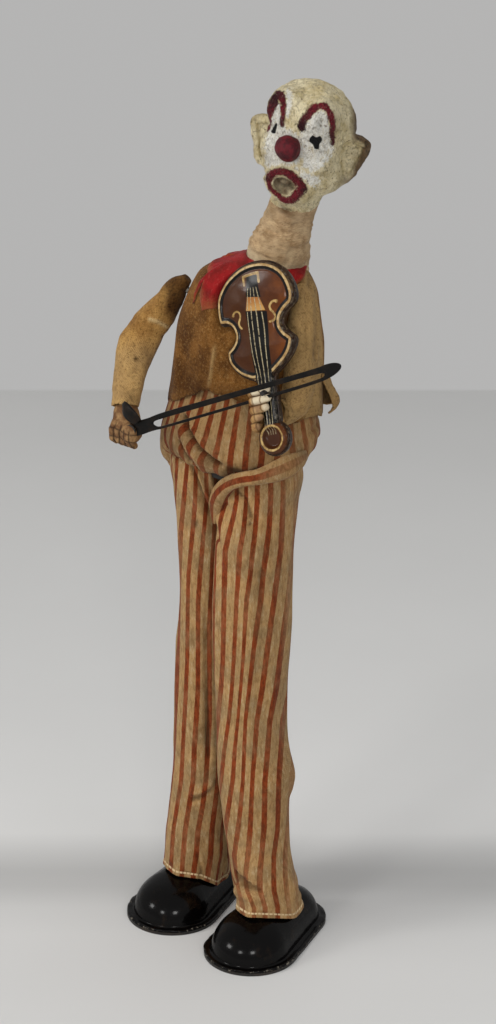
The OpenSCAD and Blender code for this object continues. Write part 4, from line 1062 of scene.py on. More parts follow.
def make_leg(side):
    n = 176 if FINE else 120
    hem = HEM_H[side]
    low = np.concatenate([np.arange(0, 3.2, 0.28), np.arange(3.4, 112, 0.9 if FINE else 1.4),
                          np.arange(112, LEG_TOP - hem - 0.2, 0.55), [LEG_TOP - hem]])
    start = math.pi if side == "left" else 0.0
    a = ring_angles(n, start)
    sign = 1 if side == "left" else -1
    spread = along(LEG_ROWS[side], hem + low)
    cx, cy, hw, hd = [spread[:, k][:, None] for k in range(4)]
    grid = np.stack([cx + hw * np.cos(a), cy + hd * np.sin(a), np.repeat((hem + low)[:, None], n, 1)], -1)
    lying = np.maximum(shoe_top(side, *grid[0, :, :2].T) + 0.7 - hem, 0)
    window = np.hanning(13) / np.hanning(13).sum()
    lying = np.convolve(np.concatenate([lying[-6:], lying, lying[:6]]), window, "valid")
    grid[..., 2] += lying * (1 - step(low, 0, 34))[:, None]
    edge = 0.9 + 0.1 * (grid[..., 1] - 4) + sign * 0.12
    gap = sign * (grid[..., 0] - edge)
    soft = 0.5 * (gap + np.sqrt(gap ** 2 + 0.9))
    grid[..., 0] = edge + sign * np.where(gap < 3, soft, gap)
    normal = normals_of(grid, True)
    facing = facing_of(grid, normal)
    px, py = seen(grid)
    front = step(facing, 0.0, 0.3)
    gapped = step(sign * (grid[..., 0] - edge), 0.2, 2.5)
    seed = 3 if side == "left" else 8
    long_way = lumps(grid * [1, 1, 0.16], 4.2, seed) * 0.55 + lumps(grid * [1, 1, 0.3], 2.2, seed + 1) * 0.2
    near_hem = 1 - step(low, 2, 22)
    loose = lumps(grid * [1, 1, 0.6], 3.0, seed + 2) * 0.5 * near_hem[:, None]
    puff = (long_way + loose) * gapped
    puff = folded(puff, px, py, front, LEG_FOLDS[side])
    if side == "left":
        knee = np.exp(-((grid[..., 2] - 47.5) / 4.5) ** 2) * step(np.cos(a)[None, :], 0.4, 1.0)
        puff = puff + 1.5 * knee
    hem_fold = np.where(low < 1.3, 0.16, 0) - 0.28 * np.exp(-((low - 1.45) / 0.22) ** 2)
    puff = puff + hem_fold[:, None] * (0.7 + 0.6 * lumps(grid, 2.4, seed + 3))
    grid = grid + normal * puff[..., None]
    wave = 0.35 * lumps(grid * [1, 1, 0], 3.1, seed + 4) * (1 - step(low, 0, 5))[:, None]
    grid[..., 2] += wave
    px, py = seen(grid)
    across = stripe_place(grid, TRACKS[side], facing)
    down = np.repeat(low[:, None], n + 1, 1)
    fade = step(px, 278, 292) * front if side == "left" else 0.0 * px
    fade = np.clip(fade + 0.35 * step(lumps(grid, 14, 21), 0.3, 0.9), 0, 1)
    # Painted shade: darker in the folds' hollows, in a deep dark spot in a fold near each leg's top, and on
    # the legs' inner sides where they meet; the other spots are darker patches.
    soil_and_shade = 0.75 * np.clip(-puff / 0.8, 0, 1) * step(np.abs(puff), 0.45, 0.9)
    x, y, r = (250, 523.5, 1.7) if side == "left" else (195.6, 523.5, 2.4)
    soil_and_shade = soil_and_shade + blot(px, py, x, y, r, 1.5 * r) * front
    for x, y, r, s in ((270, 545, 5, 0.3), (275, 800, 7, 0.22), (256, 632, 3, 0.35), (206, 640, 5, 0.3)):
        soil_and_shade = soil_and_shade + s * blot(px, py, x, y, r, 2.2 * r) * front
    soil_and_shade = soil_and_shade + 0.9 * (1 - gapped) * step(grid[..., 2], 14, 30)
    uv = np.stack([across, down], -1)
    marks = {"fade": fade, "soil_and_shade": np.clip(soil_and_shade, 0, 1), "stitch": np.full(px.shape, 1.1)}
    piece = weave_grid(side + "_trouser_leg_cloth", grid, True, uv, marks)
    thicken(piece, bpy.context.scene.clown_cloth.cotton_thickness / MM)
    cover(piece, coloured("striped cotton", stripe_finish))
    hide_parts(side + "_trouser_leg")
    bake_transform(piece)
    return piece


SEAT_ROWS = [[-20, 18.2, 12.4, 0, 0], [0, 18.9, 12.5, 0, 0], [18, 18.7, 12, 0, 0], [27, 18.6, 11.9, 0, 0]]
BELLY_FRONT = [(0, 29, -0.8), (0.1, 25, -0.2), (0.24, 20, 1.1), (0.38, 15, 2.3), (0.5, 10.5, 3.1),
               (0.6, 7.2, 3.0), (0.68, 5.0, 2.3), (0.75, 3.6, 1.1), (0.81, 2.9, -0.6), (0.88, 3.6, -3.0),
               (1, 5.2, -5.6)]
BELLY_BACK = [(0, 29, -0.8), (0.1, 25, -0.2), (0.24, 20, 0.8), (0.38, 15, 1.4), (0.5, 10.5, 1.9),
              (0.6, 6.8, 2.1), (0.68, 4, 1.8), (0.75, 2.2, 0.6), (0.81, 1.4, -0.4), (0.88, 1.6, -1.8),
              (1, 3, -3.4)]
# The lower edge of the belly's cloth, where the picture shows it
BELLY_LINE = [(178, 462), (188, 467), (198, 471.5), (208, 476), (218, 478.5), (230, 478), (244, 475.5),
              (256, 473.5), (264, 475), (274, 478.5), (286, 476), (297, 471), (306, 464.5), (311, 456),
              (315, 446)]

SEAT_FOLDS = [
    ([(177, 416), (182, 436), (193, 454), (207, 468)], 0.9, 3.2, 2.6),
    ([(181, 408), (187, 430), (199, 449), (213, 461), (228, 470)], -2.0, 2.0, 2.6),
    ([(186, 420), (196, 438), (210, 452), (226, 462)], 0.6, 3.0, 5.0),
    ([(176, 436), (184, 456), (196, 470)], -1.2, 1.8, 2.6),
    ([(318, 428), (300, 446), (276, 466)], 0.8, 4.0, 3.0),
    ([(322, 418), (306, 440), (286, 458)], -0.6, 3.0, 3.0)]


def belly_shape(p):
    return np.hypot(p[..., 0] / 20.6, p[..., 1] / 14.2) * 14.2 - 14.2


def make_seat():
    n = 200 if FINE else 128
    t = np.linspace(0, 1, 90 if FINE else 60)
    a = ring_angles(n, math.pi / 2)
    front = step(-np.sin(a), -0.35, 0.45)
    profile = [along(p, t) for p in (BELLY_BACK, BELLY_FRONT)]
    z = profile[0][:, :1] * (1 - front) + profile[1][:, :1] * front
    grow = profile[0][:, 1:] * (1 - front) + profile[1][:, 1:] * front
    edge = edge_round(BELLY_LINE, lambda a: -3.5 + 0 * a, 40, belly_shape, SEAT_ROWS, hold=20)
    z = z + (by_angle(edge, a) - z.min(0)) * step(t, 0.1, 0.78)[:, None]
    spot = ring_spots(SEAT_ROWS, z, a, grow)[::-1]
    grid = out_of(BODY, spot)
    normal = normals_of(grid, True)
    facing = facing_of(grid, normal)
    px, py = seen(grid)
    shown = step(facing, 0.0, 0.3)
    puff = lumps(grid * [1, 1, 0.35], 4.5, 12) * 0.3 + lumps(grid * [1, 1, 0.5], 2.0, 13) * 0.1
    from_top = t[::-1, None]
    puff = puff + 0.35 * np.cos(a * 22)[None] * step(from_top, 0.5, 0.75) * (1 - step(from_top, 0.9, 1))
    puff = folded(puff, px, py, shown, SEAT_FOLDS)
    grid = grid + normal * puff[..., None]
    turned = np.concatenate([a, [a[0] + 2 * math.pi]])
    close = np.linspace(a[0], turned[-1], 2000)
    arc = run_of(np.stack([19.5 * np.cos(close), 13.5 * np.sin(close)], -1))
    across = np.interp(turned, close, arc) / arc[-1] * SEAT_STRIPES + 0.15
    length = rise_of(grid)
    uv = chart(across, length)
    fade = np.clip(step(px, 296, 318) * shown * 0.8 + 0.3 * step(lumps(grid, 12, 22), 0.2, 0.9), 0, 1)
    # Painted shade: darker in the folds' hollows, at the seat's lower end, along the belly's lower edge above
    # the hanging fold, and along one deep fold; the whole seat is a little darker too.
    soil_and_shade = 0.9 * np.clip(-puff / 1.3, 0, 1) * step(-puff, 0.3, 0.9)
    soil_and_shade = soil_and_shade + 0.75 * (1 - step(t, 0, 0.19))[:, None] + 0.22
    soil_and_shade = soil_and_shade + 0.95 * fold_along(px, py, [(222, 467), (235, 471), (250, 471.5), (264, 469)], 2.8,
                                    3.0) * shown
    soil_and_shade = soil_and_shade + 0.25 * fold_along(px, py, [(184, 436), (199, 456), (213, 466), (224, 469)], 1.6, 2.5) * shown
    piece = weave_grid("trouser_seat_cloth", grid, True, uv,
                       {"fade": fade, "soil_and_shade": np.clip(soil_and_shade, 0, 1), "stitch": np.full(px.shape, -9.0)})
    thicken(piece, bpy.context.scene.clown_cloth.cotton_thickness / MM)
    cover(piece, coloured("striped cotton", stripe_finish))
    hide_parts("trouser_seat")
    fold = make_swag()
    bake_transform(piece)
    return piece


# The fold that hangs below the belly: its line, half width and half depth in the picture's place
SWAG = [(214.5, 523, -9.6, 0.5, 0.4), (215.3, 511, -10.4, 1.5, 0.9), (217.5, 500, -11.4, 2.1, 1.3),
        (223, 490, -12.4, 2.1, 1.5), (232, 483, -13.2, 1.9, 1.6), (246, 479.5, -13.8, 1.9, 1.6),
        (260, 477.5, -13.5, 2.1, 1.6), (274, 473.5, -12.0, 2.7, 1.5), (288, 468, -9.4, 3.0, 1.3),
        (299, 462.5, -5.8, 2.6, 0.9), (307, 456, -1.2, 1.4, 0.4)]


def make_swag():
    spots = []
    for px, py, y, wide, deep in SWAG:
        d = sight(px, py)
        p = EYE + d * ((y - EYE[1]) / d[1])
        spots.append([*p, wide, deep])
    spots = np.array(spots)
    s = run_of(spots[:, :3])
    at = np.linspace(0, s[-1], 110 if FINE else 70)
    row = along(np.column_stack([s, spots]), at)
    ahead = unit(np.gradient(row[:, :3], axis=0))
    middle = np.array([2.0, 4.0, 0.0])
    outward = row[:, :3] - middle
    outward[:, 2] = 0
    outward -= (outward * ahead).sum(1, keepdims=True) * ahead
    outward = unit(outward)
    aside = np.cross(outward, ahead)
    n = 40
    a = ring_angles(n)
    ridge = 1 + 0.14 * np.cos(a * 3 + 1.0)[None] * step(at / s[-1], 0.05, 0.3)[:, None]
    grid = (row[:, None, :3] + aside[:, None] * (row[:, 3:4] * np.cos(a) * ridge)[..., None]
            + outward[:, None] * (row[:, 4:5] * np.sin(a) * ridge)[..., None])
    grid = grid + (lumps(grid, 3.4, 31) * 0.22 + lumps(grid, 1.5, 32) * 0.1)[..., None] * outward[:, None]
    grid = grid[:, ::-1]
    px, py = seen(grid)
    uv = chart(np.linspace(0, 3.0, n + 1) + 0.1, at)
    fade = step(px, 252, 290) * 0.8
    # Painted shade on the fold's side toward the body; the whole fold is a little darker too.
    soil_and_shade = (0.22 + 0.5 * step(-np.sin(a[::-1]), 0.2, 0.9))[None] * np.ones_like(px)
    piece = weave_grid("trouser_fold", grid, True, uv, {"fade": fade, "soil_and_shade": soil_and_shade,
                                                        "stitch": np.full(px.shape, -9.0)})
    with opened(piece) as mesh:
        bmesh.ops.holes_fill(mesh, edges=[e for e in mesh.edges if e.is_boundary], sides=0)
    shade_smooth(piece)
    cover(piece, coloured("striped cotton", stripe_finish))
    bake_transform(piece)
    return piece


# Jacket, collar and coat tail

JACKET_ROWS = [[8, 19.8, 13.6, 0, 0], [15, 20.3, 13.7, 0, 0], [22, 20.5, 13.5, 0, 0], [30, 20.3, 13.2, 0, 0],
               [40, 19.4, 12.8, 0, 0], [46, 18, 11.9, 0.1, 0.1], [50, 17.0, 11.2, 0.3, 0.3],
               [53, 15.7, 10.4, 0.7, 0.7], [55, 13.7, 9.4, 1.3, 1.2], [57, 10.8, 7.9, 2.2, 1.9],
               [58.4, 7.8, 6.5, 2.9, 2.5], [59.1, 6.5, 5.8, 3.1, 2.7]]
# Where the hem and the collar's edge run across the front, as the picture shows them
HEM_LINE = [(172, 401), (190, 396), (207, 390), (228, 397), (247, 402), (258, 405), (264, 417), (275, 423),
            (286, 425), (300, 420), (312, 416), (320, 413)]
COLLAR_LINE = [(211, 264), (208.7, 274.5), (203.2, 286), (201, 292), (195.5, 300.5), (193.4, 304.8),
               (203, 310.2), (215, 308.7), (226, 300), (240, 296), (262, 292), (282, 290), (300.2, 282),
               (304.6, 272.5), (308.6, 264)]

JACKET_FOLDS = [
    ([(311, 268), (309, 320), (312, 372)], -0.7, 2.2, 3.5),
    ([(319, 282), (320, 330), (321, 372)], -0.55, 2.0, 3.0),
    ([(304, 270), (303, 310), (302, 350)], -0.4, 2.2, 2.2),
    ([(196, 262), (187, 282), (183, 300)], -0.5, 2.5, 4), ([(181, 330), (177, 360), (178, 395)], 0.5, 4, 4),
    ([(292, 396), (298, 408), (312, 412)], -0.6, 2.5, 3.0),
    ([(276, 396), (283, 410), (290, 424)], 0.6, 3.0, 3.0)]


def jacket_shape(p):
    ring = along(JACKET_ROWS, p[..., 2])
    across, deep = (p[..., 0] - ring[..., 2]) / ring[..., 0], (p[..., 1] - ring[..., 3]) / ring[..., 1]
    return (np.hypot(across, deep) - 1) * np.minimum(ring[..., 0], ring[..., 1])


def ring_spots(rows, z, a, out=0.0):
    ring = along(rows, z)
    return np.stack([ring[..., 2] + (ring[..., 0] + out) * np.cos(a),
                     ring[..., 3] + (ring[..., 1] + out) * np.sin(a),
                     z + 0 * a], -1)


def edge_round(line, elsewhere, blend, shape=None, rows=None, hold=0):
    """An edge's height by angle: through the seen points of its line, and by a rule elsewhere."""
    spots = []
    for px, py in line:
        p = meet((BODY, shape or jacket_shape), px, py)
        ring = along(rows or JACKET_ROWS, p[2])
        angle = math.degrees(math.atan2((p[1] - ring[3]) / ring[1], (p[0] - ring[2]) / ring[0]))
        spots.append(((angle - 90) % 360, p[2]))
    spots.sort()
    a = np.linspace(0, 360, 720, endpoint=False)
    z = elsewhere(np.radians(a))
    angles, heights = np.array(spots).T
    from_back = (a - 90) % 360
    inside = np.interp(from_back, angles, heights)
    first, last = angles[0] - hold, angles[-1] + hold
    share = step(from_back, first - blend, first) * (1 - step(from_back, last, last + blend))
    return a, z * (1 - share) + inside * share


def by_angle(table, a):
    return np.interp(np.degrees(a) % 360, np.append(table[0], 360), np.append(table[1], table[1][0]))


def clear_of_fiddle(points, depth):
    """Moves points that lie in or before the fiddle's body back behind it."""
    q = into(FIDDLE, points)
    d = in_outline(q[..., :2], FIDDLE_OUTLINE)
    behind = -FIDDLE_T - depth
    share = 1 - step(d, 0.3, 2.2)
    moved = np.where(q[..., 2] > behind, (behind - q[..., 2]) * share, 0)
    return points + moved[..., None] * FIDDLE[0][:, 2]


def make_jacket():
    n = 260 if FINE else 150
    hem = edge_round(HEM_LINE, lambda a: 13.0 + 0.7 * np.cos(3 * a) + 0.5 * np.sin(7 * a), 55)
    a = ring_angles(n, math.pi / 2)
    base = by_angle(hem, a)
    z = np.concatenate([np.linspace(0, 1, 26)[:-1] ** 0.8 * 15 + 15, np.arange(30, 50, 0.7 if FINE else 1.1),
                        [50, 50.8, 51.6, 52.4, 53.1, 53.8, 54.4, 55, 55.6, 56.2, 56.7, 57.2, 57.7, 58.2]])
    low = z[:, None] < 30
    tall = np.where(low, base + (z[:, None] - 15) / 15 * (30 - base), z[:, None])
    grid = out_of(BODY, ring_spots(JACKET_ROWS, tall, a))
    normal = normals_of(grid, True)
    facing = facing_of(grid, normal)
    px, py = seen(grid)
    shown = step(facing, 0.0, 0.25)
    from_hem = tall - base
    puff = lumps(grid * [1, 1, 0.35], 6, 41) * 0.45 + lumps(grid * [1, 1, 0.6], 2.6, 42) * 0.16
    puff = puff * (0.35 + 0.65 * (1 - step(tall, 46, 54)))
    puff = puff + (1 - step(from_hem, 0, 7)) * (0.5 * lumps(grid * [1, 1, 0.4], 4, 43) + 0.45)
    pale = step(px, 298, 308) * shown
    seam = fold_along(px, py, [(216, 342), (213, 362), (209, 390)], 1.6, 1.6)
    puff = puff + 0.4 * seam * shown
    puff = folded(puff, px, py, shown, JACKET_FOLDS)
    grid = grid + normal * puff[..., None]
    ragged = 0.5 * lumps(on_line(a * 9), 0.7, 44) + 0.35 * lumps(on_line(a * 9), 0.22, 45)
    grid[..., 2] += (1 - step(from_hem, 0, 4)) * ragged
    grid = clear_of_fiddle(grid, 0.5)
    arc = run_of(closed_round(grid)[30])
    length = rise_of(grid)
    uv = chart(arc, length)
    # Painted shade: darker in the folds' hollows. Darker in spots and along the hem's edge.
    soil_and_shade = 0.55 * blot(px, py, 193, 375, 17, 20)
    for x, y, rx, ry, s in ((205, 262, 9, 5, 0.3), (297, 398, 8, 7, 0.3), (303, 362, 4, 3, 0.5),
                            (299, 362, 3, 4, 0.4), (228, 392, 16, 8, 0.4), (310, 410, 7, 6, 0.3),
                            (187, 330, 8, 20, 0.2), (310, 277, 3, 12, 0.35)):
        soil_and_shade = soil_and_shade + s * blot(px, py, x, y, rx, ry) * shown
    soil_and_shade = soil_and_shade + 0.5 * np.clip(-puff - 0.4, 0, 0.6) + 0.3 * (1 - step(from_hem, 0.2, 1.0))
    pale = np.clip(pale + 0.8 * seam * shown, 0, 1)
    piece = weave_grid("jacket_cloth", grid, True, uv, {"pale": pale, "soil_and_shade": np.clip(soil_and_shade, 0, 1)})
    thicken(piece, bpy.context.scene.clown_cloth.wool_thickness / MM)
    cover(piece, coloured("tan wool", wool_finish))
    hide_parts("jacket")
    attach(piece, "torso")
    return piece


def make_collar():
    n = 520 if FINE else 300
    edge = edge_round(COLLAR_LINE, lambda a: (56.7 + 0.8 * (2 / math.pi) * np.arcsin(np.cos(9 * a))
                                              - 0.9 * np.maximum(np.sin(a), 0) - 0.6 * np.cos(a)), 4)
    a = ring_angles(n, math.pi / 2)
    base = by_angle(edge, a)
    t = np.linspace(0, 1, 44 if FINE else 26)
    knots = np.array([46, 50, 53, 54.8, 56.2, 57.3, 58.2, 59.0])
    spans = np.linalg.norm(np.diff(along(JACKET_ROWS, knots), axis=0), axis=1) + np.diff(knots)
    run = np.concatenate([[0], np.cumsum(spans)])
    first = np.interp(base, knots, run)
    first = np.where(base < 46, (base - 46) * 1.1, first)
    far = first[None] + (run[-1] - first[None]) * t[:, None]
    tall = np.where(far < 0, 46 + far / 1.1, np.interp(far, run, knots))
    grid = out_of(BODY, ring_spots(JACKET_ROWS, tall, a))
    normal = normals_of(grid, True)
    px, py = seen(grid)
    puff = 0.75 + lumps(grid * [1, 1, 0.35], 6, 41) * 0.45 * 0.5 + lumps(grid, 2.0, 51) * 0.14
    puff = puff * (0.55 + 0.45 * step(t, 0, 0.12))[:, None]
    grid = grid + normal * puff[..., None]
    fringe = 0.22 * lumps(on_line(a * 14), 0.3, 52)
    grid[..., 2] += (1 - step(t, 0, 0.2))[:, None] * fringe
    grid = clear_of_fiddle(grid, 0.25)
    arc = run_of(closed_round(grid)[len(t) // 2])
    length = rise_of(grid)
    uv = chart(arc, length)
    # Painted shadow under the neck's edge, on both sides of the neck.
    soil_and_shade = 0.6 * blot(px, py, 247, 258, 3, 7) + 0.5 * blot(px, py, 296, 262, 12, 3)
    piece = weave_grid("collar_felt", grid, True, uv, {"edge": np.repeat(t[:, None] * 3, n, 1), "soil_and_shade": soil_and_shade})
    thicken(piece, bpy.context.scene.clown_cloth.felt_thickness / MM)
    cover(piece, coloured("red felt", felt_finish))
    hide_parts("collar")
    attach(piece, "torso")
    return piece


def make_coat_tail():
    rows = [(33, 0.3), (31.4, 0.9), (29.8, 1.9), (28, 3.0), (26.4, 3.8), (25, 4.1), (23.9, 3.6), (23.1, 2.8)]
    u = np.linspace(0, 1, 60)
    t = np.linspace(0, 1, 36)
    z0, lift = [spread(column, t)[::-1] for column in zip(*rows)]
    a = np.radians(3 + 55 * u)
    waves = 1.3 * np.sin(u * 8) + 0.5 * lumps(on_line(u * 9), 0.5, 61)
    z = z0[:, None] + waves[None] * (1 - t)[:, None]
    curl = lift[:, None] * (0.75 + 0.35 * np.sin(u * 7 + 0.6)[None]) + 0.5
    grid = out_of(BODY, ring_spots(JACKET_ROWS, z, a, curl))
    normal = normals_of(grid, False)
    grid = grid + normal * (0.4 * lumps(grid, 3.0, 62) + 0.15 * lumps(grid, 1.2, 63))[..., None]
    arc = run_of(grid[10])
    length = rise_of(grid)
    uv = chart(arc, length)
    soil_and_shade = np.clip(0.4 * lumps(grid, 4, 64), 0, 1)
    piece = weave_grid("coat_tail_cloth", grid, False, uv, {"pale": np.full(soil_and_shade.shape, 0.8), "soil_and_shade": soil_and_shade})
    thicken(piece, bpy.context.scene.clown_cloth.sleeve_thickness / MM)
    cover(piece, coloured("tan wool", wool_finish))
    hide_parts("coat_tail")
    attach(piece, "torso")
    return piece


# Arms

ARM_PATH = [[-18.9, -0.5, 49.0], [-20.6, -1.1, 46.8], [-23.3, -2.6, 41.3], [-26.3, -4, 36.2],
            [-28.4, -7, 29.7], [-28.2, -10, 23.8], [-27, -13, 19.6], [-26.0, -14.8, 16.4]]
ARM_RADII = [1.3, 2.5, 3.5, 4.6, 4.9, 4.4, 3.9, 3.6]
LEFT_PATH = [[13.5, -1.5, 55.5], [16.6, -4.6, 51], [18, -6.4, 44], [18.6, -7.4, 37], [18.9, -8.4, 31.4],
             [19.2, -10.6, 28], [18.6, -13, 26.6], [16.6, -15.6, 27.2]]
LEFT_RADII = [1.6, 3.3, 4, 4.1, 3.9, 3.6, 3.4, 3.3]

RIGHT_SLEEVE_FOLDS = [
    ([(150, 330), (160, 334), (168, 340)], -0.35, 2, 3),
    ([(128, 330), (122, 352), (120, 380)], -0.35, 3, 4), ([(146, 352), (142, 372), (137, 392)], 0.3, 4, 4),
    ([(168, 288), (163, 302), (160, 316)], -0.3, 3, 3),
    ([(116, 372), (124, 376), (134, 374)], -0.25, 2.0, 2.5),
    ([(115, 388), (124, 392), (133, 390)], 0.25, 2.0, 2.5)]
LEFT_SLEEVE_FOLDS = [
    ([(306, 282), (307, 320), (305, 360)], -0.5, 2, 3), ([(316, 290), (318, 330), (317, 368)], -0.5, 2, 3),
    ([(286, 400), (294, 409), (306, 412)], -0.5, 2, 3)]


def tube_grid(path, radii, rows, n, power=1.0):
    """Rings along a path in the body's frame, from its start to its end, with their length and angle."""
    path = np.asarray(path, float)
    s = run_of(path)
    at = np.linspace(0, 1, rows) ** power * s[-1]
    row = along(np.column_stack([s, path, radii]), at)
    ahead = unit(np.gradient(row[:, :3], axis=0))
    aside = unit(np.cross(ahead, [0, 1, 0]))
    out = np.cross(ahead, aside)
    a = ring_angles(n)
    spot = (row[:, None, :3] + aside[:, None] * (row[:, 3:] * np.cos(a))[..., None]
            + out[:, None] * (row[:, 3:] * np.sin(a))[..., None])
    return out_of(BODY, spot), at, a


def make_sleeve(side):
    right = side == "right"
    path, radii = (ARM_PATH, ARM_RADII) if right else (LEFT_PATH, LEFT_RADII)
    rows, n = (130, 96) if FINE else (80, 64)
    grid, at, a = tube_grid(path, radii, rows, n)
    share = at / at[-1]
    normal = normals_of(grid, True)
    facing = facing_of(grid, normal)
    cloth = ("sleeve cloth", "b48a4e", "8a6334", "d2b684") if right else ("tan wool",)
    if facing.max() < 0.2 or (normal[rows // 2] * (grid[rows // 2] - grid[rows // 2].mean(0))).sum() < 0:
        normal, facing = -normal, -facing
    px, py = seen(grid)
    shown = step(facing, 0.0, 0.25)
    seed = 71 if right else 81
    puff = lumps(grid, 5.5, seed) * 0.5 + lumps(grid * [1, 1, 1.4], 2.4, seed + 1) * 0.2
    puff = puff * step(share, 0, 0.08)[:, None]
    soil_and_shade, pale = np.zeros(px.shape), np.zeros(px.shape)
    if right:
        ring = fold_along(px, py, [(146, 318), (158, 321.5), (170, 328)], 1.7, 2.2)
        puff = puff + 0.55 * ring * shown
        puff = folded(puff, px, py, shown, RIGHT_SLEEVE_FOLDS)
        # Paler along the raised fold near the top; the lower part is paler as painted light, where the light
        # falls on it.
        pale = 0.9 * ring * shown + 0.35 * step(py, 330, 360)
        # Soiled and in painted shade on the upper part toward the body, where the sleeve goes behind the
        # jacket; the spots are darker patches.
        soil_and_shade = 0.85 * step(px + 0.35 * (300 - py), 160, 176) * (1 - step(py, 316, 328))
        for x, y, rx, ry, s in ((136, 359, 2.4, 2.0, 1.0), (168, 308, 8, 12, 0.7), (160, 322, 3, 3, 0.2),
                                (131, 399, 5, 5, 0.4), (127, 345, 6, 10, 0.1), (116, 346, 1.2, 1.5, 0.9)):
            soil_and_shade = soil_and_shade + s * blot(px, py, x, y, rx, ry) * shown
    else:
        pale = np.full(px.shape, 0.9)
        puff = folded(puff, px, py, shown, LEFT_SLEEVE_FOLDS)
    # Painted shade in the folds' hollows.
    soil_and_shade = soil_and_shade + 0.6 * np.clip(-puff - 0.3, 0, 0.6)
    grid = grid + normal * puff[..., None]
    ragged = 0.5 * lumps(on_line(a * 4), 0.8, seed + 3)
    ahead = unit(np.gradient(grid, axis=0)[-1])
    for k in range(1, 7):
        grid[-k] += ahead * (ragged * (1 - k / 7))[:, None]
    if not right:
        grid = clear_of_fiddle(grid, 1.9)
    start = grid[0].mean(0)
    grid = np.concatenate([[start + (grid[0] - start) * 0.45, start + (grid[0] - start) * 0.8], grid])
    at = np.concatenate([[-0.8, -0.4], at])
    soil_and_shade, pale = [np.concatenate([v[:1], v[:1], v]) for v in (soil_and_shade, pale)]
    around = 2 * math.pi * spread(radii, share).mean()
    uv = chart(np.linspace(0, around, n + 1), at)
    grid, uv = grid[::-1], uv[::-1]
    piece = weave_grid(side + "_sleeve_cloth", grid, True, uv,
                       {"pale": np.clip(pale, 0, 1)[::-1], "soil_and_shade": np.clip(soil_and_shade, 0, 1)[::-1]})
    top = Vector(out_of(BODY, [path[0]])[0] * MM)
    with opened(piece) as mesh:
        closed = [e for e in mesh.edges if e.is_boundary and (e.verts[0].co - top).length < 4 * MM]
        bmesh.ops.holes_fill(mesh, edges=closed, sides=0)
        bmesh.ops.recalc_face_normals(mesh, faces=mesh.faces)
    shade_smooth(piece)
    thicken(piece, bpy.context.scene.clown_cloth.sleeve_thickness / MM)
    cover(piece, coloured(cloth[0], wool_finish, *cloth[1:]))
    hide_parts(side + "_sleeve")
    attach(piece, "bow_arm" if right else "torso")
    return piece


def make_fist():
    """The right hand, closed on the bow, with cuts between its fingers."""
    centre = np.array([-23.9, -16.9, 11.6])

    def field(p):
        f = egg(p, centre, (4.1, 3.7, 4.3))
        f = join(f, egg(p, (-25.3, -15.5, 15.2), (3.3, 3.1, 3.0)), 1.4)
        for k in range(4):
            x = centre[0] - 2.4 + k * 1.75
            f = join(f, tube(p, [(x, -18.6, 13.6), (x + 0.1, -20.3, 12.0), (x + 0.2, -20.0, 9.6),
                                 (x + 0.3, -18.2, 8.2)], [1.0, 1.05, 1.05, 0.9]), 0.35)
        f = join(f, egg(p, (-20.8, -20.7, 12.3), (2.2, 1.7, 2.9)), 0.5)
        return f + 0.14 * lumps(p, 1.6, 91) + 0.05 * lumps(p, 0.7, 92)

    points, faces = outer_skin(field, (-30, -23.5, 5.5), (-17.5, -10.5, 19.5), 0.24 if FINE else 0.36)
    # Painted shade: dark lines in the cuts between the fingers and in two creases across them.
    cut = np.zeros(len(points))
    for k in range(5):
        x = centre[0] - 3.3 + k * 1.75
        cut = np.maximum(cut, np.exp(-((points[:, 0] - x - 0.12 * lumps(points, 1.5, 93)) / 0.2) ** 2)
                         * step(-points[:, 1], 18.6, 19.4) * (1 - step(points[:, 2], 13.2, 14.2)))
    for z in (12.7, 10.6):
        cut = np.maximum(cut, 0.9 * np.exp(-((points[:, 2] - z - 0.25 * lumps(points, 2.2, 94)) / 0.2) ** 2)
                         * step(-points[:, 1], 18.8, 19.6))
    piece = make_piece("right_fist", out_of(BODY, points), faces, {"cut": cut * 0.9, "pale": 0 * cut})
    cover(piece, coloured("painted hand", hand_finish, "99774f", "69482d"))
    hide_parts("right_hand")
    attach(piece, "bow_arm")
    return piece


def slab_piece(name, outline, holes, low, high, bevel):
    """A flat plate from an outline in the body's x and z, between two values of its y."""
    mesh = bmesh.new()
    loops = [[mesh.verts.new((p[0], p[1], 0)) for p in line] for line in (outline, *holes)]
    edges = [mesh.edges.new((v[k], v[(k + 1) % len(v)])) for v in loops for k in range(len(v))]
    bmesh.ops.triangle_fill(mesh, use_beauty=True, edges=edges)
    bmesh.ops.dissolve_limit(mesh, angle_limit=0.01, verts=mesh.verts, edges=mesh.edges)
    grown = bmesh.ops.extrude_face_region(mesh, geom=list(mesh.faces))
    for v in grown["geom"]:
        if isinstance(v, bmesh.types.BMVert):
            v.co.z = 1
    for v in mesh.verts:
        v.co = Vector(out_of(BODY, [(v.co.x, low + (high - low) * v.co.z, v.co.y)])[0] * MM)
    bmesh.ops.recalc_face_normals(mesh, faces=mesh.faces)
    data = bpy.data.meshes.new(name)
    mesh.to_mesh(data)
    mesh.free()
    piece = bpy.data.objects.new(name, data)
    bpy.context.scene.collection.objects.link(piece)
    soften(piece, bevel)
    shade_smooth(piece)
    return piece


HAND_PIVOT, BOW_Y, BOW_SLOPE = (-20.5, 13.5), -20.9, 29.7


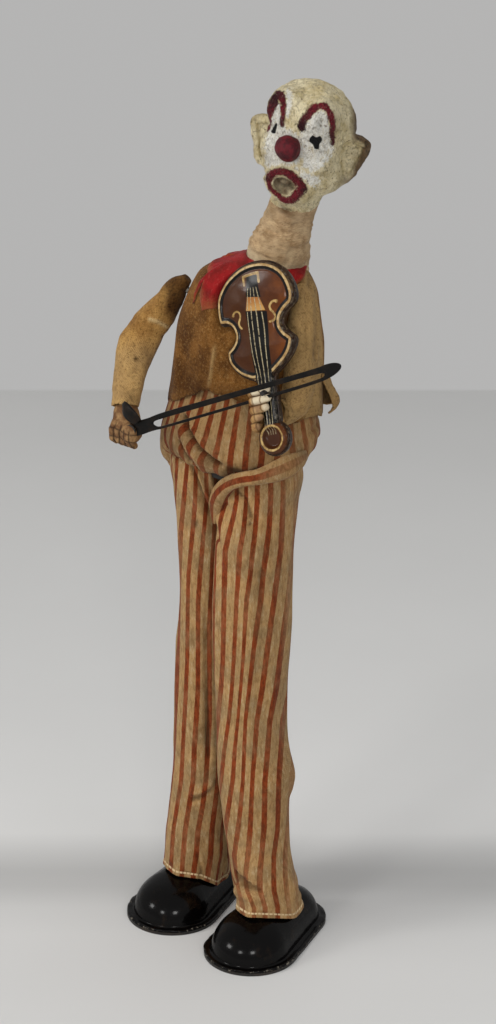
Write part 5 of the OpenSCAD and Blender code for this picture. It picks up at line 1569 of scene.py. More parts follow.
def make_bow():
    """The bow: a tin plate with a long slot that slides on the fiddle's peg."""
    c, s = math.cos(math.radians(BOW_SLOPE)), math.sin(math.radians(BOW_SLOPE))

    def lay(line):
        return [(HAND_PIVOT[0] + c * x - s * y, HAND_PIVOT[1] + s * x + c * y) for x, y in line]

    outer = [(-1.6, -0.7), (-1.2, -1.5), (0, -1.9), (3, -2.0), (6, -1.75), (10, -2.0), (24, -2.05),
             (39, -2.1), (57, -2.0), (61.5, -1.5), (64.3, -0.5), (65.2, 0.5), (64.6, 1.35), (62.8, 1.85),
             (60.4, 1.9), (58.6, 1.6), (39, 1.75), (24, 1.9), (10, 2.0), (6, 1.6), (3, 1.7), (0, 1.9),
             (-1.2, 1.5), (-1.6, 0.7)]
    slot = [(6.8, -0.2), (7.6, -1.1), (9, -1.35), (20, -1.3), (40, -1.3), (58.6, -1.15), (59.8, -0.6),
            (60, -0.1), (59.2, 0.25), (40, 0.5), (20, 0.5), (9, 0.55), (7.4, 0.4)]
    piece = slab_piece("bow_plate", lay(rounded(outer)), [lay(rounded(slot))], BOW_Y, BOW_Y + BOW_TIN, 0.16)
    cover(piece, coloured("bow enamel", bow_finish))
    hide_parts("bow")
    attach(piece, "fiddle_bow")
    return piece


def make_tab():
    """The bent tin tab of the hand, over the bow's end."""
    line = [(-23.6, -20.2, 19.6), (-22.4, -21.3, 19.3), (-21.0, -22.0, 18.6), (-19.5, -22.1, 17.7),
            (-18.2, -21.7, 16.6)]
    half = [0.9, 1.5, 1.8, 1.7, 1.3]
    s = np.linspace(0, 1, 5)
    at = np.linspace(0, 1, 24)
    row = along(np.column_stack([s, line, half]), at)
    ahead = unit(np.gradient(row[:, :3], axis=0))
    aside = unit(np.cross(ahead, [0, -1, 0]))
    u = np.linspace(-1, 1, 9)
    round_off = np.sqrt(np.clip(1 - np.clip((0.12 - at) / 0.12, 0, 1) ** 2, 0.05, 1))
    grid = row[:, None, :3] + aside[:, None] * (row[:, 3:] * round_off[:, None] * u)[..., None]
    grid[..., 1] -= 0.35 * (1 - u ** 2)
    piece = weave_grid("bow_hand_tab", out_of(BODY, grid), False)
    thicken(piece, TAB_TIN, 0.0)
    cover(piece, coloured("bow enamel", bow_finish))
    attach(piece, "bow_arm")
    return piece


# Fiddle, in its own frame: u across, v toward the chin, w out of the face

FIDDLE_T = 3.4
PAN = (0.0, -28.4)
PAN_R = 4.15
BODY_RIGHT = [(2.53, -12.95), (3.67, -12.26), (5.29, -11.12), (7.16, -9.67), (8.68, -7.84), (9.61, -5.91),
              (9.62, -4.53), (7.79, -3.21), (6.81, -1.68), (6.83, -0.3), (7.7, 1.29), (9.11, 2.44),
              (10.7, 3.39), (11.34, 4.84), (11.41, 6.55), (10.94, 8.69), (10.04, 10.74), (8.49, 12.55),
              (6.26, 13.97)]
BODY_LEFT = [(3.91, 14.72), (0.63, 14.93), (-2.36, 14.39), (-5.05, 13.28), (-7.39, 11.75), (-9.42, 9.64),
             (-10.71, 7.4), (-11.18, 5.03), (-11.08, 2.56), (-10.84, 0.95), (-8.72, 1.03), (-7.41, 0.05),
             (-6.82, -1.44), (-6.81, -2.66), (-7.44, -3.96), (-8.65, -4.99), (-9.73, -5.7), (-9.86, -7.25),
             (-9.5, -8.88), (-8.49, -10.43), (-6.67, -12.1), (-4.74, -13.08), (-2.9, -13.8)]
BODY_OUTLINE = BODY_RIGHT + BODY_LEFT
PAN_LINE = [(PAN[0] + PAN_R * math.cos(math.radians(a)), PAN[1] + PAN_R * math.sin(math.radians(a)))
            for a in range(118, 425, 9)]
FIDDLE_OUTLINE = np.array([(2.25, -24.2), (2.3, -16), *BODY_RIGHT, *BODY_LEFT, (-2.1, -15), (-2.0, -24.2),
                           *PAN_LINE])
BLACK_PARTS = [[(-1.14, 11.68), (1.98, 11.75), (2.1, 9.3), (2.5, 6.1), (-1.8, 6.8), (-1.3, 9.3)],
               [(-2.5, 3.28), (3.6, 2.5), (2.5, -13.12), (2.5, -25), (-2.4, -25), (-2.3, -12.43)]]
AMBER_PART = [(-1.5, 6.7), (2.0, 6.2), (3.2, 2.8), (-2.3, 3.4)]
BRACKET = [(-2.0, 9.7), (-2.05, 11.75), (0.2, 12.1), (2.35, 12.2), (2.4, 10.0)]
LEFT_HOLE = [(-6.56, 2.71), (-6.01, 3.5), (-4.93, 3.74), (-4.21, 3.03), (-4.4, 1.84), (-5.06, 0.9),
             (-4.94, -0.16), (-4.39, -0.67)]
RIGHT_HOLE = [(6.79, 4.55), (5.58, 4.67), (4.55, 3.87), (4.46, 2.85), (5.33, 1.84), (5.79, 0.91),
              (5.23, -0.04), (3.97, -0.19)]
STRING_ROWS = [[-27.5, -1.3, -0.65, 0.0, 0.7], [-13.7, -1.7, -0.8, 0.3, 1.4], [3.3, -1.9, -0.8, 0.6, 2.1],
               [8.8, -0.9, -0.2, 0.6, 1.4]]


def even_line(outline, gap):
    closed = np.vstack([outline, outline[:1]])
    s = run_of(closed)
    at = np.linspace(0, s[-1], int(s[-1] / gap), endpoint=False)
    return np.stack([np.interp(at, s, closed[:, k]) for k in (0, 1)], -1)


def fiddle_relief(p, d):
    """Height of the pressed face by place and by distance inside the edge."""
    inside = -d
    w = -0.95 * (1 - np.sqrt(np.clip(1 - (1 - np.clip(inside / 1.1, 0, 1)) ** 2, 0, 1)))
    w = w - 0.16 * np.exp(-((inside - 1.75) / 0.35) ** 2) + 0.35 * step(inside, 2.2, 7)
    r = np.hypot(p[..., 0] - PAN[0], p[..., 1] - PAN[1])
    dish = -0.95 * (1 - step(r, 1.9, 2.9)) + 0.12 * np.exp(-((r - 3.3) / 0.35) ** 2)
    return np.where(r < PAN_R, np.where(r < 3.4, dish, np.minimum(w, 0)
                                        + 0.12 * np.exp(-((r - 3.3) / 0.35) ** 2)), w)


def make_fiddle_face():
    edge = even_line(rounded(FIDDLE_OUTLINE), 0.3)
    gap = 0.21 if FINE else 0.34
    u, v = np.meshgrid(np.arange(-12, 12.5, gap), np.arange(-33.5, 15.8, gap))
    spots = np.stack([u.ravel(), v.ravel()], -1)
    inner = np.vstack([edge + inward(edge) * off for off in (0.18, 0.42)])
    inner = inner[in_outline(inner, edge) < -0.1]
    spots = spots[in_outline(spots, edge) < -0.5]
    points = np.vstack([edge, inner, spots])
    loop = [(k, (k + 1) % len(edge)) for k in range(len(edge))]
    flat, _, faces, *_ = geometry.delaunay_2d_cdt([Vector(p) for p in points], loop, [], 1, 1e-5)
    p = np.array([q[:] for q in flat])
    d = in_outline(p, edge)
    body = in_outline(p, rounded(BODY_OUTLINE))
    on_neck = step(-p[:, 1], 13.4, 14.4)
    w = fiddle_relief(p, d)
    w = w + 0.05 * lumps(np.column_stack([p, 0 * w]), 2.5, 101)
    holes = np.minimum(to_line(p, rounded_line(LEFT_HOLE))[0] - 0.24,
                       to_line(p, rounded_line(RIGHT_HOLE))[0] - 0.27)
    curls = np.minimum(ball(p, (-6.35, 2.75), 0.33), ball(p, (6.5, 4.35), 0.36))
    gold = np.minimum(np.minimum(holes, curls), to_line(p, BRACKET)[0] - 0.34)
    gold = np.minimum(gold, np.abs(np.hypot(p[:, 0] - PAN[0], p[:, 1] - PAN[1]) - 3.05) - 0.26)
    black = np.minimum.reduce([in_outline(p, q) for q in BLACK_PARTS])
    rows = along(STRING_ROWS, p[:, 1])
    string = np.array([np.interp(x, r, [0.5, 1.5, 2.5, 3.5]) + np.clip(x - r[-1], 0, 9) / 1.2
                       - np.clip(r[0] - x, 0, 9) / 1.2 for x, r in zip(p[:, 0], rows)])
    strung = ((string > 0.15) & (string < 3.9) & (p[:, 1] < 8.8) & (p[:, 1] > -27.6)).astype(float)
    marks = {
        "rim": body * (1 - on_neck) - 4 * on_neck, "black": black, "gold": gold, "string": string,
             "strung": strung,
        "amber": in_outline(p, AMBER_PART), "amber_low": step(p[:, 1], 6.3, 2.8),
        "warm": np.clip(0.12 + 0.75 * step(p[:, 0], -1, 8), 0, 1),
        "worn": np.clip((1 - step(-d, 0.2, 1.3)) * (0.3 + 0.7 * step(p[:, 0], -2, 6)), 0, 1)
        + 0.35 * (black < 0) * (p[:, 1] < 3),
    }
    piece = make_piece("fiddle_face", out_of(FIDDLE, np.column_stack([p, w])), faces, marks)
    cover(piece, coloured("printed fiddle tin", fiddle_finish))
    thicken(piece, FACE_TIN)
    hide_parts("fiddle_top")
    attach(piece, "torso")
    return piece


def rounded_line(line, turns=2):
    p = np.asarray(line, float)
    for _ in range(turns):
        mid = np.stack([0.75 * p[:-1] + 0.25 * p[1:], 0.25 * p[:-1] + 0.75 * p[1:]], 1).reshape(-1, p.shape[1])
        p = np.vstack([p[:1], mid, p[-1:]])
    return p


def make_fiddle_tray():
    edge = even_line(rounded(FIDDLE_OUTLINE), 0.35 if FINE else 0.5)
    n = -inward(edge)
    rows = [(-0.9, -FIDDLE_T), (-0.45, -FIDDLE_T), (-0.12, -3.25), (0.02, -2.95), (0.08, -2.3), (0.1, -1.75),
            (0.34, -1.62), (0.4, -1.45), (0.38, -1.25), (0.22, -1.08), (0.0, -0.98), (-0.2, -0.96)]
    grid = []
    for out, w in rows:
        bump = 0.05 * lumps(np.column_stack([edge, np.full(len(edge), w)]), 2.0, 111)
        grid.append(np.column_stack([edge + n * (out + bump)[:, None], np.full(len(edge), w)]))
    grid = np.array(grid)
    worn = np.repeat(np.array([0, 0, 0, .1, .1, .2, .8, 1, 1, .8, .5, .3])[:, None], len(edge), 1)
    piece = weave_grid("fiddle_tray", out_of(FIDDLE, grid), True, marks={"worn": worn})
    first, back = Vector(out_of(FIDDLE, [0, 0, -FIDDLE_T]) * MM), Vector(FIDDLE[0][:, 2])
    with opened(piece) as mesh:
        low = [e for e in mesh.edges if e.is_boundary and (e.verts[0].co - first).dot(back) < 0.5 * MM]
        bmesh.ops.triangle_fill(mesh, use_beauty=True, edges=low)
        bmesh.ops.recalc_face_normals(mesh, faces=mesh.faces)
    shade_smooth(piece)
    cover(piece, coloured("fiddle side", side_finish))
    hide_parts("fiddle_back")
    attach(piece, "torso")
    return piece


def side_finish(name):
    f = Finish(name, Coat_Weight=0.15, Coat_Roughness=0.25, Specular_IOR_Level=0.1)
    wide, fine = f.noise(4, 4, 0.6), f.noise(0.5, 4, 0.7)
    body = f.mix(f.band(wide, 0.4, 0.64), "22140c", "38261a")
    chips = f.band(f.scaled(f.noise(0.9, 5, 0.75), 0.75, f.times(f.mark("worn"), 0.2)), 0.56, 0.66)
    body = f.mix(f.times(chips, 0.7), body, f.mix(f.band(fine, 0.4, 0.6), "5d4a30", "82765f"))
    f.color(body)
    f.rough(f.scaled(chips, 0.25, 0.3))
    f.bump((wide, 0.12), (chips, -0.03), (fine, 0.01))
    return f.material


def make_left_hand():
    """Fingers round the fiddle's neck, and the palm beside it."""
    rows = [(-16.5, 1.4), (-18.7, 1.5), (-20.9, 0.5), (-23.0, -1.6), (-25.0, -3.2)]

    def field(p):
        f = brick(p, (-4.3, -20.8, -2.8), (1.2, 5.2, 2.0), 0.9)
        f = join(f, brick(p, (-1.4, -21.2, -4.7), (2.6, 3.8, 0.7), 0.6), 0.8)
        for v, tip in rows:
            f = join(f, tube(p, [(-4.2, v - 0.4, -1.9), (-4.1, v - 0.3, 0.0), (-3.3, v - 0.1, 0.95),
                                 (tip - 0.5, v + 0.2, 0.9)], [1.1, 1.14, 1.12, 0.98]), 0.16)
        f = f + 0.12 * lumps(p, 1.5, 121) + 0.05 * lumps(p, 0.6, 122)
        room = np.maximum(in_outline(p[..., :2], FIDDLE_OUTLINE) - 0.12, np.abs(p[..., 2] + 1.6) - 1.85)
        return carve(f, room, 0.1)

    points, faces = outer_skin(field, (-6.8, -28.0, -6.5), (3.5, -14.4, 3.0), 0.22 if FINE else 0.34)
    u, v, w = points.T
    # Painted shade: dark lines in the cuts between the fingers and in two creases across their tops.
    cut = np.zeros(len(points))
    for k in range(4):
        middle = (rows[k][0] + rows[k + 1][0]) / 2
        cut = np.maximum(cut, np.exp(-((v - middle - 0.07 * u - 0.12 * lumps(points, 1.2, 123)) / 0.2) ** 2)
                         * step(w, -2.4, -1.0))
    for place in (-3.1, -0.7):
        crease = (u - place - 0.3 * lumps(points, 1.6, 124)) / 0.16
        cut = np.maximum(cut, 0.75 * np.exp(-crease ** 2) * step(w, 0.4, 1.2))
    pale = step(u, -3.6, -2.6) * step(w, 0.2, 1.0) * (0.15 + 0.85 * step(v, -20.3, -19.3)) * (1 - cut)
    pale = np.maximum(pale, 0.8 * step(u, -1.2, 0.2) * step(w, 0.2, 1.0) * (1 - cut))
    piece = make_piece("left_hand_and_fingers", out_of(FIDDLE, points), faces,
                       {"cut": cut * 0.85, "pale": pale})
    cover(piece, coloured("painted fingers", hand_finish, "a98250", "7d5228"))
    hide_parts("left_hand")
    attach(piece, "torso")
    return piece


# Head and neck

# What is painted on the face, in the picture's place: lines with half widths in millimetres, and outlines
BROWS = [([(267.8, 129), (269.3, 113), (274, 99), (279.5, 93.5), (282.6, 99), (283.3, 110), (282, 125)],
          [0.6, 0.8, 1.1, 1.2, 0.8, 0.65, 0.55], (0.3, 0.62)),
         ([(301.5, 126.5), (305.4, 117.5), (312, 110), (319, 105.5), (326.5, 106.5), (331, 115.5),
           (332.9, 128), (332.5, 143)], [1.05, 0.95, 0.95, 0.85, 0.8, 0.75, 0.7, 0.45], (-0.2, 0.2))]
LIPS_OUT = [(264.8, 176.3), (269.7, 170), (280.2, 167.3), (289.6, 169), (298, 175.3), (304.3, 182.6),
            (308, 189.4), (302.2, 195.3), (297, 201.6), (289.6, 204), (282.3, 202.2), (276.5, 196.8),
            (269.7, 191), (266, 183.7)]
LIPS_IN = [(271.3, 180.6), (276.5, 176.4), (284.4, 175.3), (291.7, 180.6), (298, 187.9), (292.8, 191),
           (288.6, 195.3), (284, 195.9), (278.3, 193.6), (273.9, 188.3)]
LIPS = [(268, 179), (273.5, 173.4), (282.3, 171.3), (290.6, 174.8), (298, 181.2), (303, 188.5),
        (297.5, 193.5), (292.5, 198.8), (286, 199.6), (280, 197.5), (274, 192), (270, 186), (268, 179)]
EYES = [[(276.6, 122.5), (277.8, 124.5), (276.6, 129.5), (275.2, 133.6), (272.9, 134.2), (271.6, 131.6),
         (273.2, 127.5)],
        [(309.5, 137.2), (312.6, 134.6), (316, 137.2), (320.4, 136.2), (322.2, 140.5), (319.7, 144.6),
         (318.3, 149), (314.6, 148.4), (312.8, 144.8), (308.8, 141.8)]]
WHITES = [[(265.5, 140), (267, 126), (271, 112), (277, 103), (281.5, 105), (283, 118), (285, 127), (292, 129),
           (298, 134), (302, 141), (303, 152), (300, 162), (292, 166), (280, 164.5), (270, 168), (265, 166),
           (264, 152)],
          [(301, 131), (306, 121), (313, 113), (321, 110), (327, 113.5), (330, 124), (331, 138), (334, 150),
           (330, 160), (321, 166), (318, 172), (309, 172), (302, 166), (302, 152), (299, 141)],
          [(284.6, 92), (290, 88), (292.5, 96), (291, 112), (287.5, 122), (284.6, 112)],
          [(293, 166), (304, 170), (313, 176), (324, 178), (318, 186), (311, 188), (303, 178)]]
EAR = [(340, 127), (348, 131), (358, 135.5), (368.6, 139.6), (371, 146), (366.5, 156), (360, 167),
       (353.5, 178), (347, 183), (338, 184), (331, 176), (328, 150)]


def head_form(p):
    f = egg(p, (-0.6, 1, 4), (10.3, 11.6, 10.0))
    f = join(f, egg(p, (-1.0, 0.2, 7.2), (8.6, 9.4, 7.4)), 1.6)
    f = join(f, egg(p, (-5.0, 0.4, 8.6), (5.4, 7.0, 4.9)), 2.0)
    f = join(f, egg(p, (0, -3.4, -8.2), (7.0, 7.4, 7.6)), 4.5)
    f = join(f, egg(p, (0, -7.4, -8.6), (5.6, 4.6, 4.9)), 2.5)
    for s in (-1, 1):
        f = join(f, egg(p, (s * 5.6, -5.8, -2.2), (4.2, 4.4, 3.6)), 3.0)
        f = join(f, egg(p, (s * 4.9, -6.6, 8.6), (4.4, 4.5, 5.4)), 2.5)
        f = join(f, egg(p, (s * 5.7, -1.2, -6.8), (4.7, 5.2, 4.6)), 3.0)
        f = carve(f, egg(p, (s * 4.7, -12.6, 2.6), (2.9, 2.2, 3.2)), 2.2)
    return f


def ear_field(side):
    """A cupped ear through its outline in the picture, in a plane that faces forward and outward."""
    lean = math.radians(34 if side > 0 else 10)
    normal = np.array([side * math.sin(lean), -math.cos(lean), 0])
    out = np.array([side * math.cos(lean), math.sin(lean), 0])
    centre = np.array([10.6, 2.0, -1.6]) if side > 0 else np.array([-11.8, -1.2, -2.9])
    across = math.radians(34)
    n_world = HEAD[0] @ np.array([math.sin(across), -math.cos(across), 0])
    along_world, c_local = np.array([math.cos(across), math.sin(across), 0]), np.array([10.6, 2.0, -1.6])
    c_world = out_of(HEAD, c_local)
    line = []
    for px, py in EAR:
        d = sight(px, py)
        q = into(HEAD, EYE + d * ((c_world - EYE) @ n_world / (d @ n_world)))
        line.append([(q - c_local) @ along_world, q[2] - c_local[2]])
    line = rounded(line)

    def field(p):
        q = p - centre
        flat = np.stack([q @ out, q[..., 2]], -1)
        d = in_outline(flat, line)
        w = q @ normal - 0.035 * flat[..., 0] ** 2
        a, b = d + 0.8, np.abs(w) - 1.35 + 0.8
        f = np.hypot(np.maximum(a, 0), np.maximum(b, 0)) + np.minimum(np.maximum(a, b), 0) - 0.8
        return carve(f, np.maximum(d + 1.9, 0.2 - w), 0.7)

    return field, centre


def make_head_pieces():
    lips = np.array([meet((HEAD, head_form), *q) for q in LIPS])
    inner, outer = [rounded(line, 1) for line in (LIPS_IN, LIPS_OUT)]
    middle = lips[:-1].mean(0)
    neck = np.array(NECK_LINE)
    neck_line = into(HEAD, out_of(NECK, neck[:, :3]))
    chin = np.array([0.3, -8.0, -16.4])

    def joined(f, p, part, centre, reach, k, cut=False):
        near = np.linalg.norm(p - centre, axis=-1) < reach
        f[near] = (carve if cut else join)(f[near], part(p[near]), k)

    def whole(p):
        f = head_form(p)
        for side in (-1, 1):
            part, centre = ear_field(side)
            joined(f, p, part, centre, 14, 1.4)
        joined(f, p, lambda q: tube(q, lips + [0, -0.1, 0], [1.0]), middle, 9, 0.5)
        joined(f, p, lambda q: egg(q, middle + [0, -0.2, 0.1], (2.8, 2.0, 2.0)), middle, 6, 0.6, True)
        joined(f, p, lambda q: egg(q, middle + [0.9, 1.0, -0.9], (1.9, 1.3, 0.9)), middle, 5, 0.4)
        joined(f, p, lambda q: egg(q, middle + [-0.7, 1.1, 0.9], (1.4, 1.0, 0.8)), middle, 5, 0.4)
        f = join(f, tube(p, neck_line, neck[:, 3]), 2.0)
        joined(f, p, lambda q: egg(q, chin, (1.6, 1.4, 0.9)), chin, 4, 0.5, True)
        near = np.abs(f) < 1.6
        q = p[near]
        calm = 1 - 0.55 * np.exp(-(np.linalg.norm(q - middle, axis=-1) / 4.5) ** 2)
        rough = 0.3 * lumps(q, 3.2, 132) + 0.17 * lumps(q, 1.4, 133) + 0.1 * lumps(q, 0.7, 134)
        wound = 0.3 * lumps(q * [0.45, 0.45, 1.7] + 0.25 * q[:, [2, 0, 1]], 1.3, 131)
        f[near] += rough * calm + wound * (1 - step(q[:, 2], -17.5, -15.5))
        return f

    size = 0.3 if FINE else 0.5
    points, faces = outer_skin(whole, (-18.5, -15.5, -34.5), (18.5, 15, 19.5), size)
    world = out_of(HEAD, points)
    px, py = seen(world)
    spot = np.stack([px, py], -1)
    view = unit(EYE - world)
    h = 0.4
    slope = unit(np.stack([(head_form(points + h * e) - head_form(points - h * e)) for e in np.eye(3)], -1))
    facing = (slope @ HEAD[0].T * view).sum(-1)
    away = 3.0 * (1 - step(facing, -0.1, 0.1)) + 3.0 * step(points[:, 1], 2, 4)
    spot = spot + np.stack([lumps(points, 1.3, 141), lumps(points, 1.3, 142)], -1) * 0.9
    red, maroon = np.full(len(points), 9.0), np.zeros(len(points))
    for line, widths, dark in BROWS:
        line = rounded_line(line, 1)
        d, share = to_line(spot, line)
        wide = spread(widths, share)
        d = d / PX_PER_MM - wide
        near = d < 1
        maroon = np.maximum(maroon, near * np.maximum(
            np.exp(-((share - 0.5 * (dark[0] + dark[1])) / 0.17) ** 2), 0.7 * step(share, 0.75, 1.0)))
        red = np.minimum(red, d)
    in_mouth = -in_outline(spot, inner)
    ring = np.maximum(in_outline(spot, outer), in_mouth + 0.6 - 1.8 * lumps(points, 1.4, 143))
    red = np.minimum(red, ring / PX_PER_MM)
    corner = np.minimum(np.hypot(px - 266, py - 178), np.hypot(px - 306, py - 190))
    maroon = np.maximum(maroon, 0.8 * np.exp(-(corner / 5) ** 2))
    black = np.minimum.reduce([in_outline(spot, q) for q in EYES]) / PX_PER_MM
    white = np.minimum.reduce([in_outline(spot, rounded(q, 1)) for q in WHITES]) / PX_PER_MM
    # Painted shade: darker inside the mouth's hollow, in the dip under the chin and under the right ear.
    # Darker along the ears' rims, along the right ear's edge and in a spot on it; the last term is random
    # dirt.
    inside = step(in_mouth / PX_PER_MM, -0.1, 0.6)
    soil_and_shade = 0.95 * inside * (points[:, 1] < -5) * (0.8 + 0.2 * lumps(points, 1.2, 138))
    soil_and_shade = soil_and_shade + np.exp(-(np.linalg.norm((points - chin) / (2.0, 2.2, 1.1), axis=1)) ** 2)
    rim = np.abs(points[:, 0]) + 0.5 * np.abs(points[:, 2] + 1.6)
    soil_and_shade = soil_and_shade + np.where(points[:, 0] > 0, 0.8, 0.35) * (np.abs(points[:, 0]) > 11) * step(
        rim + 0.8 * lumps(points, 2, 139), 14.2, 16.6)
    soil_and_shade = soil_and_shade + 0.8 * blot(px, py, 348, 182, 9, 6) * (points[:, 1] > -3)
    ear_edge = -in_outline(spot, rounded(EAR)) / PX_PER_MM
    soil_and_shade = soil_and_shade + 1.0 * (1 - step(ear_edge + 0.6 * lumps(points, 1.5, 140), 0.6, 2.2)) * step(px, 348, 357)
    soil_and_shade = soil_and_shade + 0.4 * blot(px, py, 356, 156, 6, 9) * (points[:, 1] < 3)
    soil_and_shade = soil_and_shade + 0.45 * np.clip(lumps(points, 2.3, 135) - 0.4, 0, 1)
    # A painted shadow above the right eye.
    painted_shadow_above_eye = blot(px, py, 319, 124, 5, 10) * (facing > 0)
    cut_z = -14.8 + 0.2 * points[:, 1] + 0.5 * lumps(points, 2.0, 136)
    below = points[:, 2] < cut_z
    head_faces = np.array(~below[faces].all(1))
    marks = {"red": red + away, "maroon": maroon, "black": black + away, "white": white + away, "painted_shadow_above_eye": painted_shadow_above_eye,
             "soil_and_shade": np.clip(soil_and_shade, 0, 1)}
    head = part_of("head_form", world, faces[head_faces], marks)
    base = into(NECK, world)
    low = 1 - step(base[:, 2], 18.5, 22.5)
    # Painted shade on the neck: darker at its lower rim where it meets the collar, and under the chin.
    marks = {"pale": np.clip(0.8 * low + 0.3 * lumps(points, 3, 137), 0, 1),
             "soil_and_shade": np.clip(soil_and_shade + 0.5 * np.exp(-((base[:, 2] - 17.8) / 0.7) ** 2)
                             + 0.35 * (1 - step(points[:, 2], -20,
                                                -15)) * np.exp(-((points[:, 2] + 17) / 2) ** 2), 0, 1)}
    neck_piece = part_of("neck_wrap", world, faces[~head_faces], marks)
    cover(head, coloured("painted pulp", moulded_finish))
    cover(neck_piece, coloured("neck wrap", skin_wrap_finish))
    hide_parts("head")
    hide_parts("neck")
    for piece in (head, neck_piece):
        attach(piece, "head_and_neck")
    return head


def part_of(name, points, faces, marks):
    used, back = np.unique(faces.ravel(), return_inverse=True)
    return make_piece(name, points[used], back.reshape(-1, 4), {k: v[used] for k, v in marks.items()})


# The neck's line in its own frame: x, y, z and radius
NECK_LINE = [(0.3, 0.6, 17.9, 7.9), (0.2, 0.5, 20, 7.6), (0.1, 0.3, 24, 6.6), (0.4, 0, 28, 6.0),
             (0.7, -0.4, 33, 5.8), (0.9, -0.6, 38, 5.9)]


def make_nose():
    centre, radius = meet((HEAD, head_form), 290.2, 147) + (0, -1.3, 0), 3.2

    def field(p):
        f = egg(p, centre, (radius, radius * 0.97, radius))
        return f + 0.2 * lumps(p, 1.9, 141) + 0.08 * lumps(p, 0.8, 142)

    points, faces = outer_skin(field, centre - 4.2, centre + 4.2, 0.24 if FINE else 0.34)
    piece = make_piece("nose_ball", out_of(HEAD, points), faces)
    cover(piece, coloured("nose paint", nose_finish))
    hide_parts("nose")
    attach(piece, "head_and_neck")
    return piece


# Finishes of the frame's own pieces

# Which of the frame's pieces have which metal; the others are of drawn steel
METALS = {
    # The hip bracket, of steel, is given black tin as painted shade where it shows through a gap in the
    # clothes.
    "black tin": ("right_sole_plate", "left_sole_plate", "guide_peg", "bow_rivet", "hip_bracket"),
    "brass": ("winding_key", "great_wheel", "second_wheel", "ratchet_wheel", "crank_pinion"),
    "blued spring steel": ("mainspring", "click_spring"),
    # The body's shells and the frame's plates are painted near black, as painted shade where they show through
    # gaps in the clothes.
    "body tin": ("body_front_shell", "body_back_shell", "frame_front_plate", "frame_back_plate"),
}
# Each metal's colour, grime colour, roughness, metallic value and share of grime
METAL_LOOKS = {
    "black tin": ("171411", "3a2c20", 0.4, 0.0, 0.6),
    "brass": ("b08d4c", "6e5228", 0.32, 1.0, 0.55),
    "blued spring steel": ("4c5260", "2b2a2c", 0.3, 1.0, 0.5),
    # Near black, as painted shade.
    "body tin": ("1d1915", "0f0c0a", 0.6, 0.0, 0.5),
    "drawn steel": ("8f8b82", "5a5046", 0.36, 1.0, 0.5),
}


def finish_frame_nodes():
    """Gives the frame's own pieces their metals, and lists those pieces."""
    done = []
    of_node = {node: name for name, nodes in METALS.items() for node in nodes}
    for node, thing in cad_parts.items():
        if thing.hide_render:
            continue
        name = of_node.get(node, "drawn steel")
        material = coloured(name, metal_finish, *METAL_LOOKS[name])
        for slot in thing.material_slots:
            slot.material = material
        done.append(node)
    return done


# Stage

# Each lamp's name, place, height of the point it looks at, size, share of the key light's power, and colour
LAMPS = [
    ("key light", (-0.6, -0.75, 0.95), 0.12, 1.2, 1, (1, 0.985, 0.96)),
    ("front lamp 1", (-0.84, -0.85, 0.6), 0.1, 0.24, 0.36, (1, 0.99, 0.97)),
    ("front lamp 2", (-0.1, -1.1, 0.5), 0.1, 0.18, 0.22, (1, 0.99, 0.97)),
    ("front lamp 3", (0.66, -1.0, 0.6), 0.1, 0.24, 0.4, (1, 0.99, 0.97)),
    ("side light", (0.95, -0.7, 0.8), 0.12, 1.0, 0.5, (0.99, 0.99, 1)),
    ("top light", (0.0, 0.25, 1.2), 0.1, 1.0, 0.55, (1, 1, 1)),
]


def make_stage(props):
    scene = bpy.context.scene
    scene.view_settings.view_transform = "Standard"
    lens = bpy.data.cameras.new("camera")
    lens.sensor_fit = "VERTICAL"
    lens.sensor_height = SENSOR
    lens.lens = LENS
    lens.clip_start, lens.clip_end = 0.05, 20
    camera = bpy.data.objects.new("camera", lens)
    scene.collection.objects.link(camera)
    camera.matrix_world = matrix_of(EYE * MM, ASIDE, ABOVE, -AHEAD)
    scene.camera = camera

    heading = np.array([-math.sin(AROUND), math.cos(AROUND)])
    aside = np.array([math.cos(AROUND), math.sin(AROUND)])
    foot = EYE[:2]

    def ground(far, wide):
        return (*(foot + heading * far + aside * wide), 0.0)

    corners = [ground(-3000, -5000), ground(-3000, 5000), ground(6000, 5000), ground(6000, -5000)]
    floor = make_piece("floor", np.array(corners), [(0, 1, 2, 3)])
    cover(floor, floor_finish("floor paper", props))

    world = bpy.data.worlds.new("studio")
    world.use_nodes = True
    nodes, links = world.node_tree.nodes, world.node_tree.links
    light, backdrop = nodes["Background"], nodes.new("ShaderNodeBackground")
    light.inputs["Color"].default_value = (0.86, 0.88, 0.9, 1)
    light.inputs["Strength"].default_value = props.fill
    backdrop.inputs["Color"].default_value = (*props.backdrop, 1)
    either, path = nodes.new("ShaderNodeMixShader"), nodes.new("ShaderNodeLightPath")
    links.new(watched_ray(nodes, links, path), either.inputs[0])
    links.new(light.outputs[0], either.inputs[1])
    links.new(backdrop.outputs[0], either.inputs[2])
    links.new(either.outputs[0], nodes["World Output"].inputs["Surface"])
    scene.world = world
    for name, at, height, size, share, color in LAMPS:
        lamp = bpy.data.lights.new(name, "AREA")
        lamp.shape = "SQUARE"
        lamp.size = size
        lamp.energy = props.key * share
        lamp.color = color
        thing = bpy.data.objects.new(name, lamp)
        thing.location = at
        thing.visible_glossy = "front" in name
        thing.rotation_euler = (Vector((0, 0, height)) - Vector(at)).to_track_quat("-Z", "Y").to_euler()
        scene.collection.objects.link(thing)


def matrix_of(at, x, y, z):
    return Matrix([*zip(x, y, z, at), (0, 0, 0, 1)])


